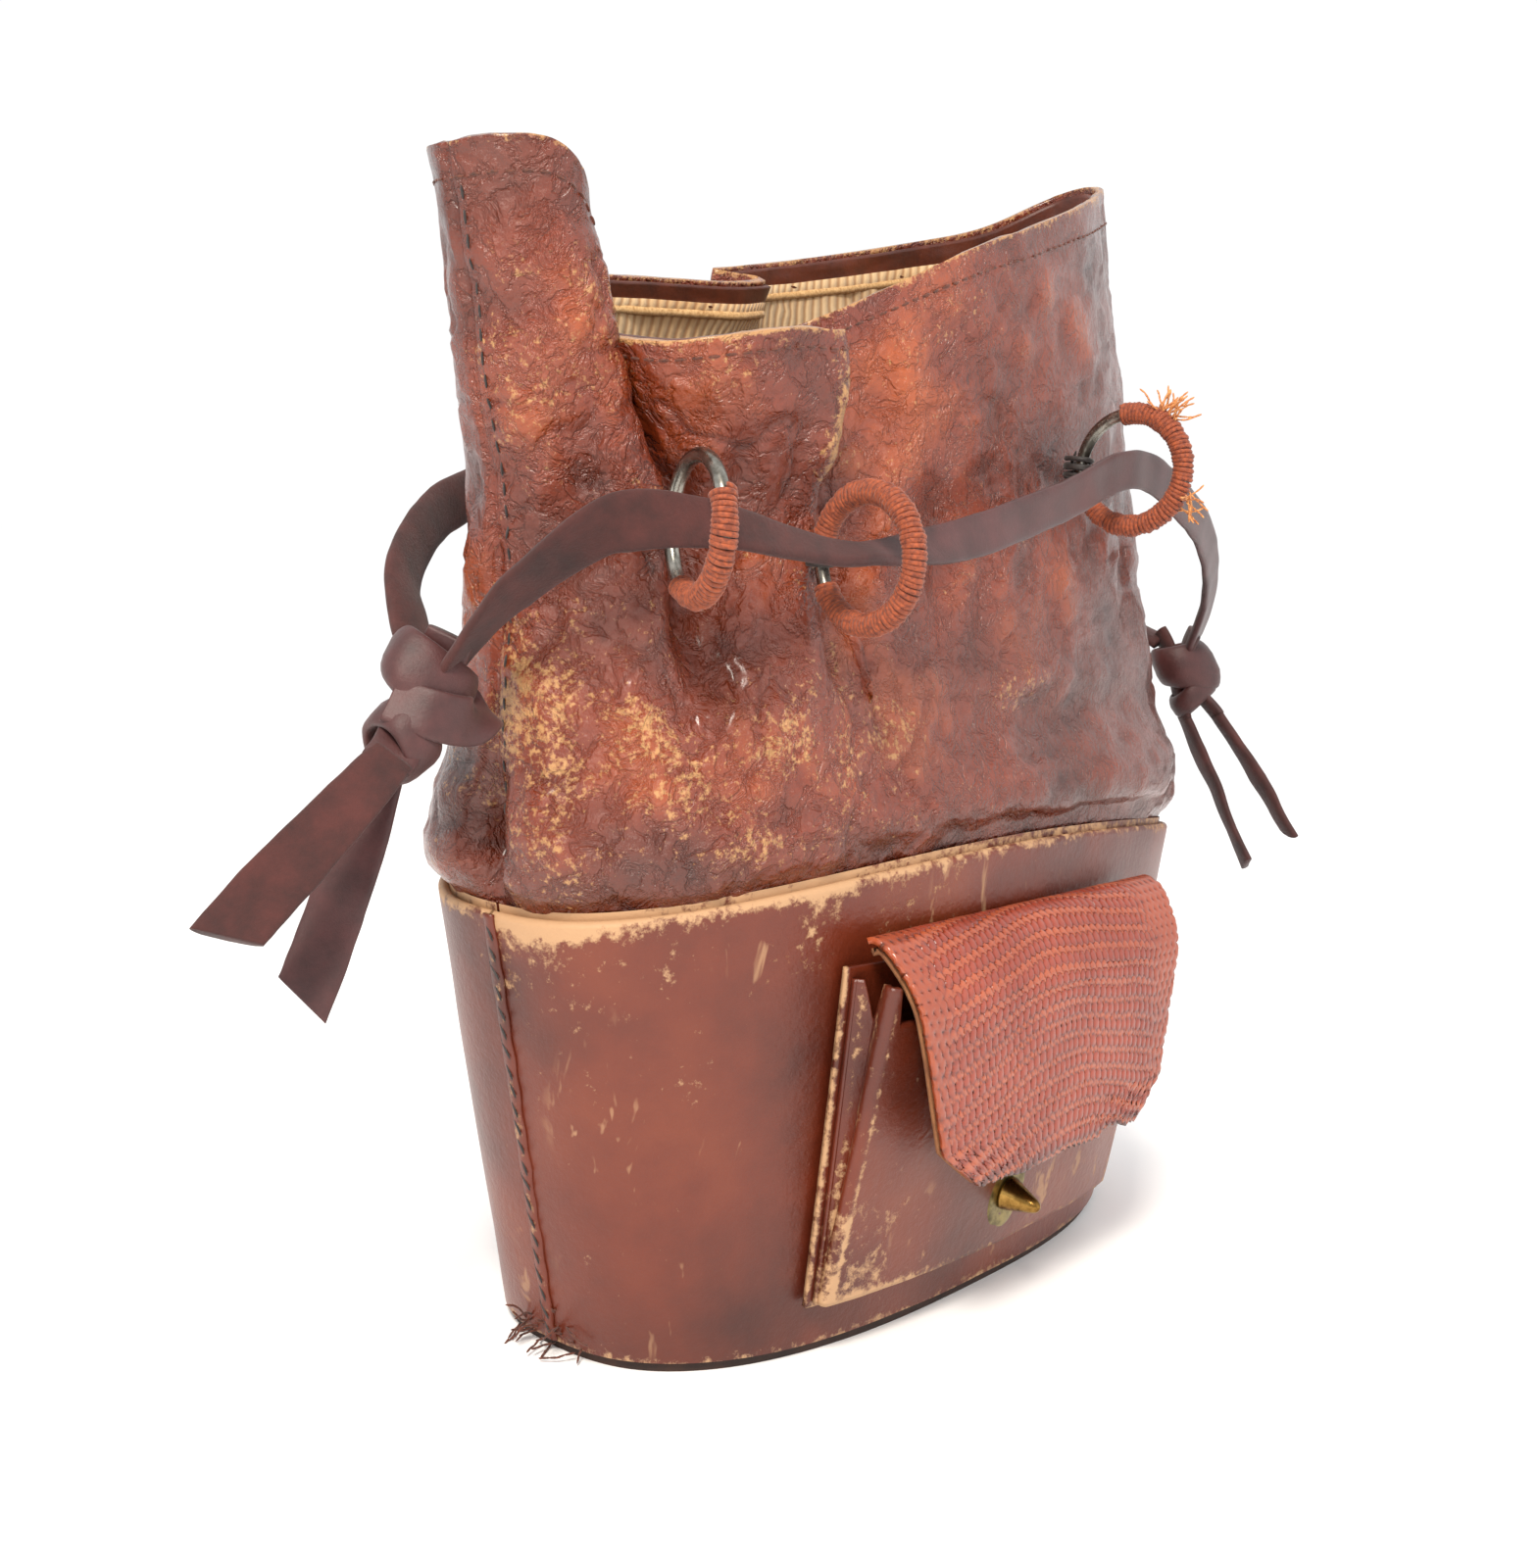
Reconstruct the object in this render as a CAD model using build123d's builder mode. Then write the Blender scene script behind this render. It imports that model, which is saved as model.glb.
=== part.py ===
# Leather drawstring bucket bag: hard tapered oval base, soft gathered upper, front pocket.
# Origin: centre of the base's underside. +Z up, +X along the long side, the pocket faces -Y.
import os
from math import atan2, cos, degrees, hypot, pi, radians, sin, tan

from build123d import *

os.makedirs("parts", exist_ok=True)

# ---- hard base ----
sole_length = 162.0        # outline at the floor, along X
sole_depth = 75.5          # outline at the floor, along Y
ridge_length = 200.0       # outline at the top ridge, along X
ridge_depth = 85.4         # outline at the top ridge, along Y
end_height = 84.0          # ridge height at the two end seams
ridge_crown = 8.2          # how much higher the ridge is at the middle of each side
fullness = 2.6             # superellipse exponent: 2 is an ellipse, more is boxier
sole_thickness = 2.0
sole_inset = 1.0           # the sole stands in from the wall
panel_thickness = 2.2      # base leather
board_thickness = 1.5      # stiffening board
gap = 0.2                  # air between layers that lie on each other
seam_gap = 0.3             # between the front and rear panels at an end seam
welt_width = 3.0
welt_height = 1.0
welt_gap = 0.3             # between a welt and the wall under it

# ---- soft upper ----
upper_thickness = 1.6
lining_thickness = 0.8
facing_thickness = 1.0
facing_height = 12.0
tube_rim = 205.0           # rim height of the folded lobe at the left end
dip_rim = 182.0            # lowest rim height, beside that lobe
mid_rim = 211.0
right_rim = 231.0          # rim height at the right end
bulge_rise = 14.0          # widest place of the soft upper, above the ridge at the ends
bulge_overhang = 3.5       # how far the soft upper hangs out over the ridge at each end
waist_length = 193.0       # at ring height
waist_depth = 61.0
waist_height = 150.0
mouth_length = 190.0
mouth_depth = 52.0
mouth_shift = -18.0        # the mouth leans towards the left end

# ---- rings, their thread and ties ----
ring_radius = 11.0         # to the middle of the wire
ring_wire = 2.6
wrap_diameter = 4.6
wrap_bore_gap = 0.05
wrap_start = 100.0         # where the thread starts round the ring, in degrees over the top from the tie
wrap_sweep = 190.0
tie_thread = 1.2
tie_clearance = 0.3        # between the wire and the loop that holds it
tie_standoff = 0.6         # between the loop and the leather

# ---- thong, knots and tails ----
thong_width = 9.5
thong_thickness = 2.0
knot_length = 18.0
knot_depth = 14.0
knot_height = 20.0
knot_round = 5.0
tail_gap = 0.9             # between a knot and the tails that swing from it

# ---- front pocket ----
pocket_shift = -3.0        # the pocket sits a little towards the left
pocket_width = 96.0
pocket_low = 12.0
pocket_high = 73.0
pocket_front_high = 66.0   # the front panel is cut lower than the sides
pocket_leather = 1.2
pocket_depth_low = 2.8     # from the base wall to the inside of the front panel
pocket_depth_high = 10.0
back_border = 2.0          # the back panel shows past the pocket's sides
flap_width = 97.0
flap_end_width = 57.0
flap_leather = 1.2
flap_lining_leather = 0.8
flap_hinge_y = -45.0
flap_hinge_z = 78.4
flap_shoulder_y = -53.4
flap_shoulder_z = 69.0
flap_tip_y = -55.6
flap_tip_z = 34.0
flap_taper_z = 42.0        # where the corners start to be cut off
flap_taper_width = 78.0

# ---- stud ----
plate_width = 13.0
plate_height = 17.0
plate_thickness = 1.2
stud_z = 23.0
stud_radius = 3.4
stud_tip_radius = 0.9
stud_length = 7.5
shank_radius = 1.2
shank_clearance = 0.05
washer_radius = 4.5
washer_thickness = 0.6

wall_in = panel_thickness + gap + board_thickness + gap
parts = {}


def keep(name, solid):
    """Label one finished piece and write its STEP file."""
    solid.label = name
    export_step(solid, f"parts/{name}.step")
    parts[name] = solid


# ---- outlines ----
def superellipse(half_x, half_y, centre=(0.0, 0.0), count=20):
    points = []
    for step in range(count):
        c = cos(2 * pi * step / count)
        s = sin(2 * pi * step / count)
        x = half_x * abs(c) ** (2 / fullness) * (1 if c >= 0 else -1)
        y = half_y * abs(s) ** (2 / fullness) * (1 if s >= 0 else -1)
        points.append((centre[0] + x, centre[1] + y))
    return points


def base_half(z):
    """Half length and half depth of the hard base's outside at height z."""
    share_x = z / end_height
    share_y = z / (end_height + ridge_crown)
    half_x = sole_length / 2 + share_x * (ridge_length - sole_length) / 2
    half_y = sole_depth / 2 + share_y * (ridge_depth - sole_depth) / 2
    return half_x, half_y


# height, half length, half depth and centre of the soft upper's outside
upper_rows = [
    (end_height - 4, ridge_length / 2 - 2, ridge_depth / 2 - 1.7, 0.0, 0.0),
    (end_height + bulge_rise, ridge_length / 2 + bulge_overhang, ridge_depth / 2 + 0.8, -1.0, 0.0),
    (125.0, ridge_length / 2 - 3, ridge_depth / 2 - 5.7, -1.0, -1.0),
    (waist_height, waist_length / 2, waist_depth / 2, -2.0, -2.0),
    (190.0, mouth_length / 2 + 1, mouth_depth / 2 + 1, 0.8 * mouth_shift, -3.5),
    (right_rim + 5, mouth_length / 2, mouth_depth / 2, mouth_shift, -4.0),
]


def upper_at(z):
    """Half sizes and centre of the soft upper at height z, straight between the rows."""
    for low, high in zip(upper_rows, upper_rows[1:]):
        if z <= high[0]:
            share = (z - low[0]) / (high[0] - low[0])
            return [a + share * (b - a) for a, b in zip(low[1:], high[1:])]
    return list(upper_rows[-1][1:])


def lofted(rows):
    """A closed solid through superellipse outlines: (height, half x, half y, centre x, centre y)."""
    with BuildPart() as body:
        for height, half_x, half_y, centre_x, centre_y in rows:
            with BuildSketch(Plane.XY.offset(height)):
                with BuildLine():
                    Spline(*superellipse(half_x, half_y, (centre_x, centre_y)), periodic=True)
                make_face()
        loft(ruled=True)
    return body.part


def base_solid(low, high, outward_low, outward_high=None):
    """The base's outline between two heights, moved out from its wall (or in, if negative)."""
    outward_high = outward_low if outward_high is None else outward_high
    rows = []
    for height, outward in ((low, outward_low), (high, outward_high)):
        half_x, half_y = base_half(height)
        rows.append((height, half_x + outward, half_y + outward, 0.0, 0.0))
    return lofted(rows)


def upper_solid(inset):
    return lofted([(z, hx - inset, hy - inset, cx, cy) for z, hx, hy, cx, cy in upper_rows])


def above_ridge(lift):
    """Everything over the crowned ridge, as a cutter; lift raises its underside."""
    half = 140.0
    rise = ridge_crown * (1 - (2 * half / ridge_length) ** 2)
    with BuildPart() as cutter:
        with BuildSketch(Plane.XZ):
            with BuildLine():
                arc = ThreePointArc(
                    (-ridge_length / 2, end_height + lift),
                    (0, end_height + ridge_crown + lift),
                    (ridge_length / 2, end_height + lift),
                )
                Polyline(arc @ 1, (half, end_height + rise + lift), (half, 300), (-half, 300),
                         (-half, end_height + rise + lift), arc @ 0)
            make_face()
        extrude(amount=80, both=True)
    return cutter.part


def beyond_seam(side):
    """Everything past the end seams from one side, as a cutter; side is -1 front, 1 rear."""
    with BuildPart() as block:
        with BuildSketch(Plane.XY.offset(-5)):
            with Locations((0, -side * (50 - seam_gap / 2))):
                Rectangle(2 * ridge_length, 100)
        extrude(amount=310)
    return block.part


def above_rim(drop):
    """Everything over the rim line, as a cutter; drop lowers the line."""
    line = [(-140, tube_rim), (-97, tube_rim), (-88, dip_rim), (-58, dip_rim + 3),
            (10, mid_rim), (90, right_rim), (140, right_rim)]
    with BuildPart() as cutter:
        with BuildSketch(Plane.XZ):
            with BuildLine():
                Polyline(*[(x, z - drop) for x, z in line], (140, 300), (-140, 300), close=True)
            make_face()
        extrude(amount=80, both=True)
    return cutter.part


# ---- hard base ----
def make_base_panels():
    outer = base_solid(sole_thickness + 0.1, end_height + ridge_crown + 1, 0.0)
    inner = base_solid(sole_thickness - 1, end_height + ridge_crown + 2, -panel_thickness)
    cutter = above_ridge(0)
    for name, side in (("base_front_panel", -1), ("base_rear_panel", 1)):
        with BuildPart() as panel:
            add(outer)
            add(beyond_seam(side), mode=Mode.SUBTRACT)
            add(inner, mode=Mode.SUBTRACT)
            add(cutter, mode=Mode.SUBTRACT)
        keep(name, panel.part)


def make_base_board():
    with BuildPart() as board:
        add(base_solid(sole_thickness + 0.1, end_height - 2, -panel_thickness - gap))
        add(base_solid(0, end_height, -panel_thickness - gap - board_thickness), mode=Mode.SUBTRACT)
    keep("base_board", board.part)


def make_floor_pieces():
    half_x, half_y = base_half(0)
    with BuildPart() as sole:
        add(lofted([(z, half_x - sole_inset, half_y - sole_inset, 0, 0) for z in (0, sole_thickness)]))
    keep("sole", sole.part)
    low = sole_thickness + 0.1
    with BuildPart() as board:
        add(lofted([(z, half_x - wall_in, half_y - wall_in, 0, 0) for z in (low, low + board_thickness)]))
    keep("bottom_board", board.part)


def make_end_welts():
    """A raised strip over the seam at each end of the base."""
    low = 2.5
    for name, side in (("welt_left", -1), ("welt_right", 1)):
        with BuildPart() as welt:
            with BuildSketch(Plane.XZ):
                with BuildLine():
                    start = side * (base_half(low)[0] + welt_gap)
                    end = side * (base_half(end_height - 0.5)[0] + welt_gap)
                    rise = side * welt_height
                    Polyline((start, low), (end, end_height - 0.5), (end + rise, end_height - 0.5),
                             (start + rise, low), close=True)
                make_face()
            extrude(amount=welt_width / 2, both=True)
        keep(name, welt.part)


# ---- soft upper ----
def make_upper_panels():
    outer = upper_solid(0.0)
    inner = upper_solid(upper_thickness)
    rim = above_rim(0)
    ridge = above_ridge(0.3)
    for name, side in (("upper_front", -1), ("upper_rear", 1)):
        with BuildPart() as panel:
            add(outer)
            add(inner, mode=Mode.SUBTRACT)
            add(rim, mode=Mode.SUBTRACT)
            add(ridge, mode=Mode.INTERSECT)
            add(beyond_seam(side), mode=Mode.SUBTRACT)
        keep(name, panel.part)


def make_facing():
    with BuildPart() as facing:
        add(upper_solid(upper_thickness + gap))
        add(upper_solid(upper_thickness + gap + facing_thickness), mode=Mode.SUBTRACT)
        add(above_rim(0.5), mode=Mode.SUBTRACT)
        add(above_rim(facing_height), mode=Mode.INTERSECT)
    keep("rim_facing", facing.part)


def lining_rows(extra):
    low = sole_thickness + board_thickness + gap + extra
    rows = []
    for height in (low, end_height):
        half_x, half_y = base_half(height)
        rows.append((height, half_x - wall_in - extra, half_y - wall_in - extra, 0, 0))
    inset = upper_thickness + gap + extra
    rows += [(z, hx - inset, hy - inset, cx, cy) for z, hx, hy, cx, cy in upper_rows[1:]]
    return rows


def make_lining():
    with BuildPart() as lining:
        add(lofted(lining_rows(0.1)))
        add(lofted(lining_rows(0.1 + lining_thickness)), mode=Mode.SUBTRACT)
        add(above_rim(facing_height + 0.4), mode=Mode.SUBTRACT)
    keep("lining_bag", lining.part)


def make_upper_seams():
    """A thin piped seam up each end of the soft upper."""
    for name, side, top in (("upper_seam_left", -1, tube_rim - 3), ("upper_seam_right", 1, right_rim - 8)):
        heights = [end_height + 4, end_height + bulge_rise, 125, waist_height, 190, top]
        near = []
        for z in heights:
            half_x, half_y, centre_x, centre_y = upper_at(z)
            near.append((centre_x + side * (half_x + 0.1), z))
        far = [(x + side * welt_height, z) for x, z in reversed(near)]
        with BuildPart() as seam:
            with BuildSketch(Plane.XZ.offset(2)):
                with BuildLine():
                    Polyline(*near, *far, close=True)
                make_face()
            extrude(amount=2)
        keep(name, seam.part)


# ---- rings ----
def leather_point(x, z, side):
    """A point on the upper's outside and the outward heading there; side is -1 front, 1 rear."""
    half_x, half_y, centre_x, centre_y = upper_at(z)
    along = (x - centre_x) / half_x
    across = (1 - abs(along) ** fullness) ** (1 / fullness)
    slope_x = abs(along) ** (fullness - 1) / half_x * (1 if along > 0 else -1)
    slope_y = across ** (fullness - 1) / half_y * side
    length = hypot(slope_x, slope_y)
    return (x, centre_y + side * across * half_y), (slope_x / length, slope_y / length)


ring_places = {
    "front_left": (-84.5, 150.0, -1),
    "front_middle": (-57.0, 146.0, -1),
    "front_right": (24.0, 165.0, -1),
    "rear_left": (-30.0, 160.0, 1),
    "rear_middle": (36.0, 158.0, 1),
    "rear_right": (74.0, 152.0, 1),
}


def make_ring(name, x, z, side):
    """A steel ring that stands out from the leather, its thread wrap and the loop that ties it."""
    (point_x, point_y), (out_x, out_y) = leather_point(x, z, side)
    loop_radius = ring_wire / 2 + tie_clearance + tie_thread / 2
    reach = tie_standoff + loop_radius + tie_thread / 2
    pin = Vector(point_x + out_x * reach, point_y + out_y * reach, z)
    centre = pin + Vector(out_x, out_y, 0) * ring_radius
    ring_plane = Plane(origin=centre, x_dir=(-out_x, -out_y, 0), z_dir=(out_y, -out_x, 0))
    with BuildPart(ring_plane) as ring:
        Torus(ring_radius, ring_wire / 2)
    keep(f"ring_{name}", ring.part)
    start = radians(wrap_start)
    towards = Vector(-out_x, -out_y, 0) * cos(start) + Vector(0, 0, 1) * sin(start)
    wrap_plane = Plane(origin=centre, x_dir=towards, z_dir=Vector(-out_x, -out_y, 0).cross(Vector(0, 0, 1)))
    with BuildPart(wrap_plane) as wrap:
        Torus(ring_radius, wrap_diameter / 2, major_angle=wrap_sweep, align=None)
        Torus(ring_radius, ring_wire / 2 + wrap_bore_gap, mode=Mode.SUBTRACT)
    keep(f"wrap_{name}", wrap.part)
    with BuildPart(Plane(origin=pin)) as tie:
        Torus(loop_radius, tie_thread / 2)
    keep(f"tie_{name}", tie.part)
    print(f"ring_{name}: pin ({pin.X:.2f}, {pin.Y:.2f}, {pin.Z:.2f}) centre ({centre.X:.2f}, {centre.Y:.2f})")


# ---- thong, knots and tails ----
front_route = [(-113, -6, 130), (-109, -17, 143), (-102, -28, 151), (-90, -35.5, 151), (-75, -41, 148),
               (-59, -44.7, 146.5), (-36, -46.5, 149), (-6, -46.5, 158), (24, -46, 166), (50, -43, 161),
               (76, -37, 151), (97, -28, 139), (108, -20, 129)]
rear_route = [(-112, 5, 130), (-104, 17, 140), (-88, 29, 150), (-62, 38, 157), (-30, 42, 160.5),
              (4, 43, 161), (36, 41.5, 159), (58, 39.5, 156), (80, 35, 152.5), (98, 23, 144),
              (106, 6, 134), (108, -11, 130)]


def arc_radii(route):
    """The largest arc that each corner's two runs allow."""
    points = [Vector(*p) for p in route]
    radii = []
    for before, corner, after in zip(points, points[1:], points[2:]):
        turn = (corner - before).get_angle(after - corner)
        short = min((corner - before).length, (after - corner).length)
        radii.append(0.45 * short / tan(radians(turn / 2)))
    return radii


def make_thong(name, route):
    radii = arc_radii(route)
    with BuildPart() as thong:
        with BuildLine():
            path = FilletPolyline(*route, radius=radii)
        heading = path % 0
        level = Vector(heading.X, heading.Y, 0).normalized()
        with BuildSketch(Plane(origin=path @ 0, x_dir=(-level.Y, level.X, 0), z_dir=heading)):
            Rectangle(thong_thickness, thong_width)
        sweep(path=path)
    keep(name, thong.part)
    print(f"{name}: length {path.length:.1f}, volume {thong.part.volume:.0f}, smallest arc {min(radii):.1f}")


knots = {
    "left_knot": (-114.0, 0.0, 121.0),
    "right_knot": (108.0, -17.0, 121.0),
}
# start point, far end, and the heading that the broad face looks along
tails = {
    "left_tail_front": ("left_knot", (-124.0, -4.5, 112.5), (-154.0, -4.5, 90.0), (-0.76, -0.63, 0.14)),
    "left_tail_rear": ("left_knot", (-119.0, 4.0, 108.5), (-134.0, 4.0, 76.0), (-0.76, -0.63, 0.14)),
    "right_tail_front": ("right_knot", (112.0, -24.5, 110.5), (121.0, -41.0, 84.0), (0.63, -0.77, 0.0)),
    "right_tail_rear": ("right_knot", (109.0, -17.0, 109.5), (117.0, -33.0, 75.0), (0.63, -0.77, 0.0)),
}


def make_knots():
    for name, place in knots.items():
        with BuildPart(Plane(origin=place)) as knot:
            Box(knot_length, knot_depth, knot_height)
            fillet(knot.edges(), knot_round)
        keep(name, knot.part)


def make_tail(name, start, end, faces):
    """A flat strip from a knot; it bends about its own width where it leaves the knot."""
    heading = (Vector(*end) - Vector(*start)).normalized()
    across = heading.cross(Vector(*faces)).normalized()
    length = (Vector(*end) - Vector(*start)).length
    with BuildPart(Plane(origin=start, x_dir=across, z_dir=heading)) as tail:
        Box(thong_width, thong_thickness, length, align=(Align.CENTER, Align.CENTER, Align.MIN))
    keep(name, tail.part)
    print(f"{name}: axis ({across.X:.4f}, {across.Y:.4f}, {across.Z:.4f}) length {length:.1f}")


# ---- pocket ----
def base_solid_sloped(low, high, behind, room):
    rise = (room[1] - room[0]) / (pocket_high - pocket_low)
    return base_solid(low, high, behind + room[0] + rise * (low - pocket_low),
                      behind + room[0] + rise * (high - pocket_low))


def pocket_shell(low, high, outward, thickness):
    """A curved wall that stands further from the base towards the top; outward gives both offsets."""
    rise = (outward[1] - outward[0]) / (pocket_high - pocket_low)
    offsets = [outward[0] + rise * (z - pocket_low) for z in (low - 1, high + 1)]
    outer = base_solid(low - 1, high + 1, offsets[0] + thickness, offsets[1] + thickness)
    inner = base_solid(low - 1, high + 1, offsets[0], offsets[1])
    return outer, inner


def front_block(width, low, high):
    """A block that keeps only the pocket's stretch of the front."""
    with BuildPart() as block:
        with BuildSketch(Plane.XY.offset(low)):
            with Locations((pocket_shift, -45)):
                Rectangle(width, 60)
        extrude(amount=high - low)
    return block.part


def make_pocket():
    outer, inner = pocket_shell(pocket_low - 1, pocket_high + 2, (gap, gap), pocket_leather)
    with BuildPart() as back:
        add(outer)
        add(inner, mode=Mode.SUBTRACT)
        add(front_block(pocket_width + 2 * back_border, pocket_low - 1, pocket_high + 2), mode=Mode.INTERSECT)
    keep("pocket_back", back.part)

    depth = (pocket_depth_low, pocket_depth_high)
    outer, inner = pocket_shell(pocket_low, pocket_high, depth, pocket_leather)
    with BuildPart() as front:
        add(outer)
        add(inner, mode=Mode.SUBTRACT)
        add(front_block(pocket_width, pocket_low, pocket_front_high), mode=Mode.INTERSECT)
        with BuildSketch(stud_plane(-5)):
            Circle(shank_radius + shank_clearance)
        extrude(amount=10, mode=Mode.SUBTRACT)
    keep("pocket_front", front.part)

    behind = gap + pocket_leather + 0.1
    room = (pocket_depth_low - 0.1 - behind, pocket_depth_high - 0.1 - behind)
    with BuildPart() as gusset:
        add(base_solid_sloped(pocket_low - 1, pocket_high + 1, behind, room))
        add(base_solid(pocket_low - 2, pocket_high + 2, behind), mode=Mode.SUBTRACT)
        add(front_block(pocket_width, pocket_low, pocket_high), mode=Mode.INTERSECT)
        add(front_block(pocket_width - 2 * pocket_leather, pocket_low + pocket_leather, pocket_high + 5),
            mode=Mode.SUBTRACT)
    keep("pocket_gusset", gusset.part)


def front_face_at(z):
    """How far out the pocket front's outside is at height z, and its lean."""
    slope = (pocket_depth_high - pocket_depth_low) / (pocket_high - pocket_low)
    depth = pocket_depth_low + slope * (z - pocket_low)
    rate = slope + (base_half(1)[1] - base_half(0)[1])
    return base_half(z)[1] + depth + pocket_leather, degrees(atan2(rate, 1))


def stud_plane(outward):
    """A plane at the stud, square to the pocket's front; its normal points away from the bag."""
    reach, lean = front_face_at(stud_z)
    normal = Vector(0, -cos(radians(lean)), -sin(radians(lean)))
    return Plane(origin=Vector(pocket_shift, -reach, stud_z) + normal * outward, x_dir=(1, 0, 0), z_dir=normal)


def make_stud():
    with BuildPart() as plate:
        with BuildSketch(stud_plane(0.15)):
            Ellipse(plate_width / 2, plate_height / 2)
            Circle(shank_radius + shank_clearance, mode=Mode.SUBTRACT)
        extrude(amount=plate_thickness)
    keep("stud_plate", plate.part)

    seat = 0.15 + plate_thickness + 0.02
    with BuildPart() as stud:
        with BuildSketch(stud_plane(seat)):
            Circle(stud_radius)
        with BuildSketch(stud_plane(seat + stud_length)):
            Circle(stud_tip_radius)
        loft()
        with BuildSketch(stud_plane(-pocket_leather - washer_thickness - 0.3)):
            Circle(shank_radius)
        extrude(amount=pocket_leather + washer_thickness + 0.3 + seat + 0.5)
    keep("stud", stud.part)

    with BuildPart() as washer:
        with BuildSketch(stud_plane(-pocket_leather - 0.1 - washer_thickness)):
            Circle(washer_radius)
            Circle(shank_radius + shank_clearance, mode=Mode.SUBTRACT)
        extrude(amount=washer_thickness)
    keep("stud_washer", washer.part)


def make_flap():
    """The flap and its lining: one bent strip each, cut to the same tapered outline."""
    outline = [(-flap_width / 2, flap_hinge_z + 3), (flap_width / 2, flap_hinge_z + 3),
               (flap_taper_width / 2, flap_taper_z), (flap_end_width / 2, flap_tip_z - 1),
               (-flap_end_width / 2, flap_tip_z - 1), (-flap_taper_width / 2, flap_taper_z)]
    spacing = (flap_leather + flap_lining_leather) / 2 + 0.1
    layers = (("pocket_flap", 0.0, flap_leather), ("flap_lining", spacing, flap_lining_leather))
    for name, shift, thickness in layers:
        profile = [(flap_hinge_y + shift, flap_hinge_z - shift / 3),
                   (flap_shoulder_y + shift, flap_shoulder_z - shift / 3), (flap_tip_y + shift, flap_tip_z)]
        with BuildPart() as layer:
            with BuildSketch(Plane.YZ):
                with BuildLine():
                    FilletPolyline(*profile, radius=6)
                trace(line_width=thickness)
            extrude(amount=flap_width, both=True)
            with BuildSketch(Plane.XZ):
                with BuildLine():
                    Polyline(*[(x + pocket_shift, z) for x, z in outline], close=True)
                make_face()
            extrude(amount=100, mode=Mode.INTERSECT)
        keep(name, layer.part)


make_base_panels()
make_base_board()
make_floor_pieces()
make_end_welts()
make_upper_panels()
make_facing()
make_lining()
make_upper_seams()
for place, (x, z, side) in ring_places.items():
    make_ring(place, x, z, side)
make_thong("front_thong", front_route)
make_thong("rear_thong", rear_route)
make_knots()
for tail_name, (knot_name, start, end, faces) in tails.items():
    make_tail(tail_name, start, end, faces)
make_pocket()
make_stud()
make_flap()
print(len(parts), "pieces")
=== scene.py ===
# Looks for the leather drawstring bucket bag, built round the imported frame.
import math
import random

import bmesh
import bpy
import numpy as np
from mathutils import Matrix, Vector, noise


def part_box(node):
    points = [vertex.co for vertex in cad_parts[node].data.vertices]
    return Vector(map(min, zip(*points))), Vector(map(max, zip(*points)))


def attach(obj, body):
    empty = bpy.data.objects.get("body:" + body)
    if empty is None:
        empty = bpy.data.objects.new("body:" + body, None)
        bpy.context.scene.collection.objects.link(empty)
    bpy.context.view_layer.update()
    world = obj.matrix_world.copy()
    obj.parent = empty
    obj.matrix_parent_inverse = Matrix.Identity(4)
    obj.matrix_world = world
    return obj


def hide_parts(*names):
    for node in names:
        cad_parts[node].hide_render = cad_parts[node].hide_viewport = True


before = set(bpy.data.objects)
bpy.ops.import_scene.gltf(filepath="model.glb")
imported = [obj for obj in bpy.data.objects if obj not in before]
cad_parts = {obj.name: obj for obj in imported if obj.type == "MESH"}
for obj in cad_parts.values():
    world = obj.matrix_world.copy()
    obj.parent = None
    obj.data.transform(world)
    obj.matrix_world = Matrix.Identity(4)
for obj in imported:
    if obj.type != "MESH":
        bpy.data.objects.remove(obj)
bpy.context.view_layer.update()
print("frame loaded")


# small helpers; lengths are in millimetres until a piece is finished
# hex colour as linear values
def srgb(code, alpha=1.0):
    parts = [int(code[i:i + 2], 16) / 255 for i in (1, 3, 5)]
    lin = [c / 12.92 if c <= 0.04045 else ((c + 0.055) / 1.055) ** 2.4 for c in parts]
    return (*lin, alpha)


# gives a node its settings and links; stops are a ramp's (place, hex colour)
def setNode(tree, node, settings=None, links=None, stops=()):
    for key, value in (settings or {}).items():
        if isinstance(key, int) or key in node.inputs:
            node.inputs[key].default_value = value
        else:
            setattr(node, key, value)
    for key, source in (links or {}).items():
        tree.links.new(source[0].outputs[source[1]], node.inputs[key])
    for index, (place, colour) in enumerate(stops):
        if index >= len(node.color_ramp.elements):
            node.color_ramp.elements.new(1.0)
        node.color_ramp.elements[index].position = place
        node.color_ramp.elements[index].color = srgb(colour)
    return node


def addNode(tree, kind, settings=None, links=None, stops=()):
    return setNode(tree, tree.nodes.new("ShaderNode" + kind), settings, links, stops)


def boxCentre(node):
    low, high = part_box(node)
    return (Vector(low) + Vector(high)) * 500


# turns a bmesh in millimetres into a finished piece in metres that rides on a body
def finishPiece(name, bm, body, nodes=(), material=None, angle=None):
    bmesh.ops.scale(bm, vec=(0.001, 0.001, 0.001), verts=bm.verts)
    mesh = bpy.data.meshes.new(name)
    bm.to_mesh(mesh)
    bm.free()
    piece = bpy.data.objects.new(name, mesh)
    bpy.context.scene.collection.objects.link(piece)
    for poly in mesh.polygons:
        poly.use_smooth = True
    if angle is not None:
        mesh.set_sharp_from_angle(angle=math.radians(angle))
    if material:
        mesh.materials.append(material)
    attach(piece, body)
    if nodes:
        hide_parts(*nodes)
    return piece


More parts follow.
